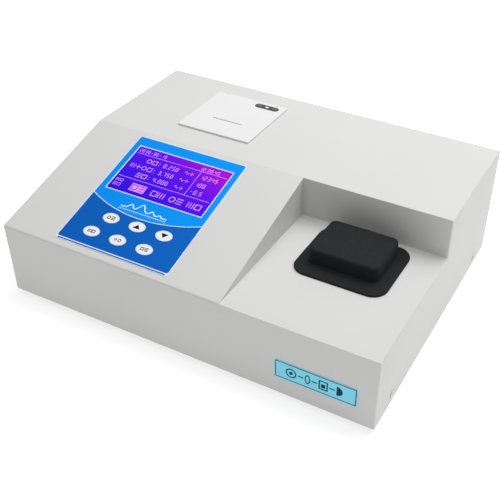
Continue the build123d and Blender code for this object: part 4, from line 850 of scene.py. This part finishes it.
def print_nameplate():
    """Light path of the instrument in plain strokes: lamp, lens, cell and detector."""
    plane = face_plane("nameplate", (0, -1, 0))
    low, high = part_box("nameplate")
    right = (high.x - low.x) / MM - PLATE_MARGIN
    top = (high.z - low.z) / MM - PLATE_MARGIN
    dress("nameplate", printed("nameplate_blue", rgb(140, 232, 254)))
    dark = printed("nameplate_dark", rgb(10, 62, 88))
    border = frame_loops(PLATE_MARGIN, PLATE_MARGIN, right, top, PLATE_LINE)
    ink("nameplate_line", border, plane, dark)
    middle = (top + PLATE_MARGIN) / 2
    tall = PATH_HALF_HEIGHT
    half = PATH_LINE / 2
    beams = [box_loop(start, middle - half, end, middle + half) for start, end in BEAMS]
    lamp = ring_loops(LAMP_X, middle, tall, PATH_LINE)
    lamp.append(oval_loop(LAMP_X, middle, LAMP_CORE, LAMP_CORE, steps=32))
    lens_bore = LENS_HALF_WIDTH - PATH_LINE * LENS_SIDE_SHARE
    lens = [
        oval_loop(LENS_X, middle, LENS_HALF_WIDTH, tall),
        oval_loop(LENS_X, middle, lens_bore, tall - PATH_LINE),
    ]
    cell = frame_loops(CELL_LEFT, middle - tall, CELL_RIGHT, middle + tall, PATH_LINE)
    cell.append(
        box_loop(LIQUID_LEFT, middle - tall + LIQUID_FOOT, LIQUID_RIGHT, middle + LIQUID_TOP)
    )
    turns = [-pi / 2 + pi * step / DETECTOR_STEPS for step in range(DETECTOR_STEPS + 1)]
    reach = tall * DETECTOR_SHARE
    detector = [(DETECTOR_X + reach * cos(turn), middle + tall * sin(turn)) for turn in turns]
    path = lamp + [beams[0]] + lens + [beams[1]] + cell + [beams[2], detector]
    ink("nameplate_path", path, plane, dark)


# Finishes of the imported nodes, by their slots

finishes = {
    "case_paint": case_paint(),
    "screw_steel": brushed("screw_steel", (0.62, 0.62, 0.6, 1), 0.3, along="z"),
    "foot_rubber": foot_rubber(),
    "circuit_board": circuit_board(),
    "white_plastic": white_plastic(),
    "motor_steel": brushed("motor_steel", (0.5, 0.5, 0.5, 1), 0.34, along="x"),
    "bare_aluminium": brushed("bare_aluminium", (0.72, 0.72, 0.73, 1), 0.36, along="y"),
    "black_anodised": black_anodised(),
    "mirror_glass": mirror_glass(),
    "quartz": quartz(),
    "zinc_steel": zinc_steel(),
    "black_plastic": black_plastic(),
    "lamp_plastic": lamp_plastic(),
    "key_black": glossy_black("key_black", 66),
    "paper": paper(),
    "roller_rubber": roller_rubber(),
    "gear_plastic": gear_plastic(),
    "brass_gear": brushed("brass_gear", (0.78, 0.58, 0.26, 1), 0.26, along="x"),
    "cover_black": cover_black(),
    "rocker_black": glossy_black("rocker_black", 22),
    "key_white": key_white(),
}
for entry in frame["record"]["subparts"]:
    if entry["material_slot"] in finishes:
        dress(entry["node"], finishes[entry["material_slot"]])

print_panel()
print_title()
print_keys()
print_display()
print_nameplate()


# Floor, world, lamps and camera


def white_ground():
    """Pale ground that the camera sees as white, except where the object's shadow falls."""
    paint = Paint("ground")
    tint = paint.ramp(paint.noise(3), (0.3, (0.9, 0.9, 0.9, 1)), (0.7, (0.93, 0.93, 0.93, 1)))
    paint.feed(tint, "Base Color")
    paint.set(Roughness=0.9, Emission_Color=(1, 1, 1, 1))
    seen = paint.node("ShaderNodeLightPath").outputs["Is Camera Ray"]
    distance = paint.vectors("LENGTH", paint.place)
    extra = paint.spread(distance, SEEN_GLOW_NEAR, SEEN_GLOW_FAR, GLOW_NEAR, GLOW_FAR)
    paint.feed(paint.maths("MULTIPLY_ADD", seen, extra, FLOOR_GLOW), "Emission Strength")
    return paint.material


def make_floor():
    mesh = bpy.data.meshes.new("floor")
    square = box_loop(-FLOOR_REACH, -FLOOR_REACH, FLOOR_REACH, FLOOR_REACH)
    mesh.from_pydata([(x, y, 0) for x, y in square], [], [(0, 1, 2, 3)])
    mesh.materials.append(white_ground())
    floor = bpy.data.objects.new("floor", mesh)
    scene.collection.objects.link(floor)


def make_world():
    """White to the camera, in reflections and through glass, and a pale ambient light elsewhere."""
    world = bpy.data.worlds.new("studio")
    world.use_nodes = True
    tree = world.node_tree
    tree.nodes.clear()
    rays = tree.nodes.new("ShaderNodeLightPath")
    seen = rays.outputs["Is Camera Ray"]
    for name in ("Is Glossy Ray", "Is Transmission Ray"):
        either = tree.nodes.new("ShaderNodeMath")
        either.operation = "MAXIMUM"
        tree.links.new(seen, either.inputs[0])
        tree.links.new(rays.outputs[name], either.inputs[1])
        seen = either.outputs["Value"]
    mix = tree.nodes.new("ShaderNodeMixShader")
    tree.links.new(seen, mix.inputs["Fac"])
    for index, strength in ((1, AMBIENT), (2, 1.0)):
        sky = tree.nodes.new("ShaderNodeBackground")
        sky.inputs["Color"].default_value = (1, 1, 1, 1)
        sky.inputs["Strength"].default_value = strength
        tree.links.new(sky.outputs["Background"], mix.inputs[index])
    output = tree.nodes.new("ShaderNodeOutputWorld")
    tree.links.new(mix.outputs["Shader"], output.inputs["Surface"])
    scene.world = world


def make_lamp(name, at, size, power):
    light = bpy.data.lights.new(name, "AREA")
    light.shape = "DISK"
    light.size = size
    light.energy = power
    lamp = bpy.data.objects.new(name, light)
    aim = (Vector(LAMP_TARGET) - Vector(at)).to_track_quat("-Z", "Y")
    lamp.matrix_world = Matrix.Translation(at) @ aim.to_matrix().to_4x4()
    scene.collection.objects.link(lamp)


def make_camera():
    back = Vector((
        sin(CAMERA_AZIMUTH) * cos(CAMERA_ELEVATION),
        -cos(CAMERA_AZIMUTH) * cos(CAMERA_ELEVATION),
        sin(CAMERA_ELEVATION),
    ))
    right = Vector((cos(CAMERA_AZIMUTH), sin(CAMERA_AZIMUTH), 0))
    up = back.cross(right)
    rolled_right = right * cos(CAMERA_ROLL) + up * sin(CAMERA_ROLL)
    rolled_up = up * cos(CAMERA_ROLL) - right * sin(CAMERA_ROLL)
    data = bpy.data.cameras.new("camera")
    data.lens = CAMERA_LENS
    data.sensor_width = CAMERA_SENSOR
    data.shift_x, data.shift_y = CAMERA_SHIFT
    camera = bpy.data.objects.new("camera", data)
    axes = Matrix((rolled_right, rolled_up, back)).transposed().to_4x4()
    camera.matrix_world = Matrix.Translation(CAMERA_AT) @ axes
    scene.collection.objects.link(camera)
    scene.camera = camera


make_floor()
make_world()
make_lamp("top_lamp", **TOP_LAMP)
make_lamp("back_lamp", **BACK_LAMP)
make_camera()
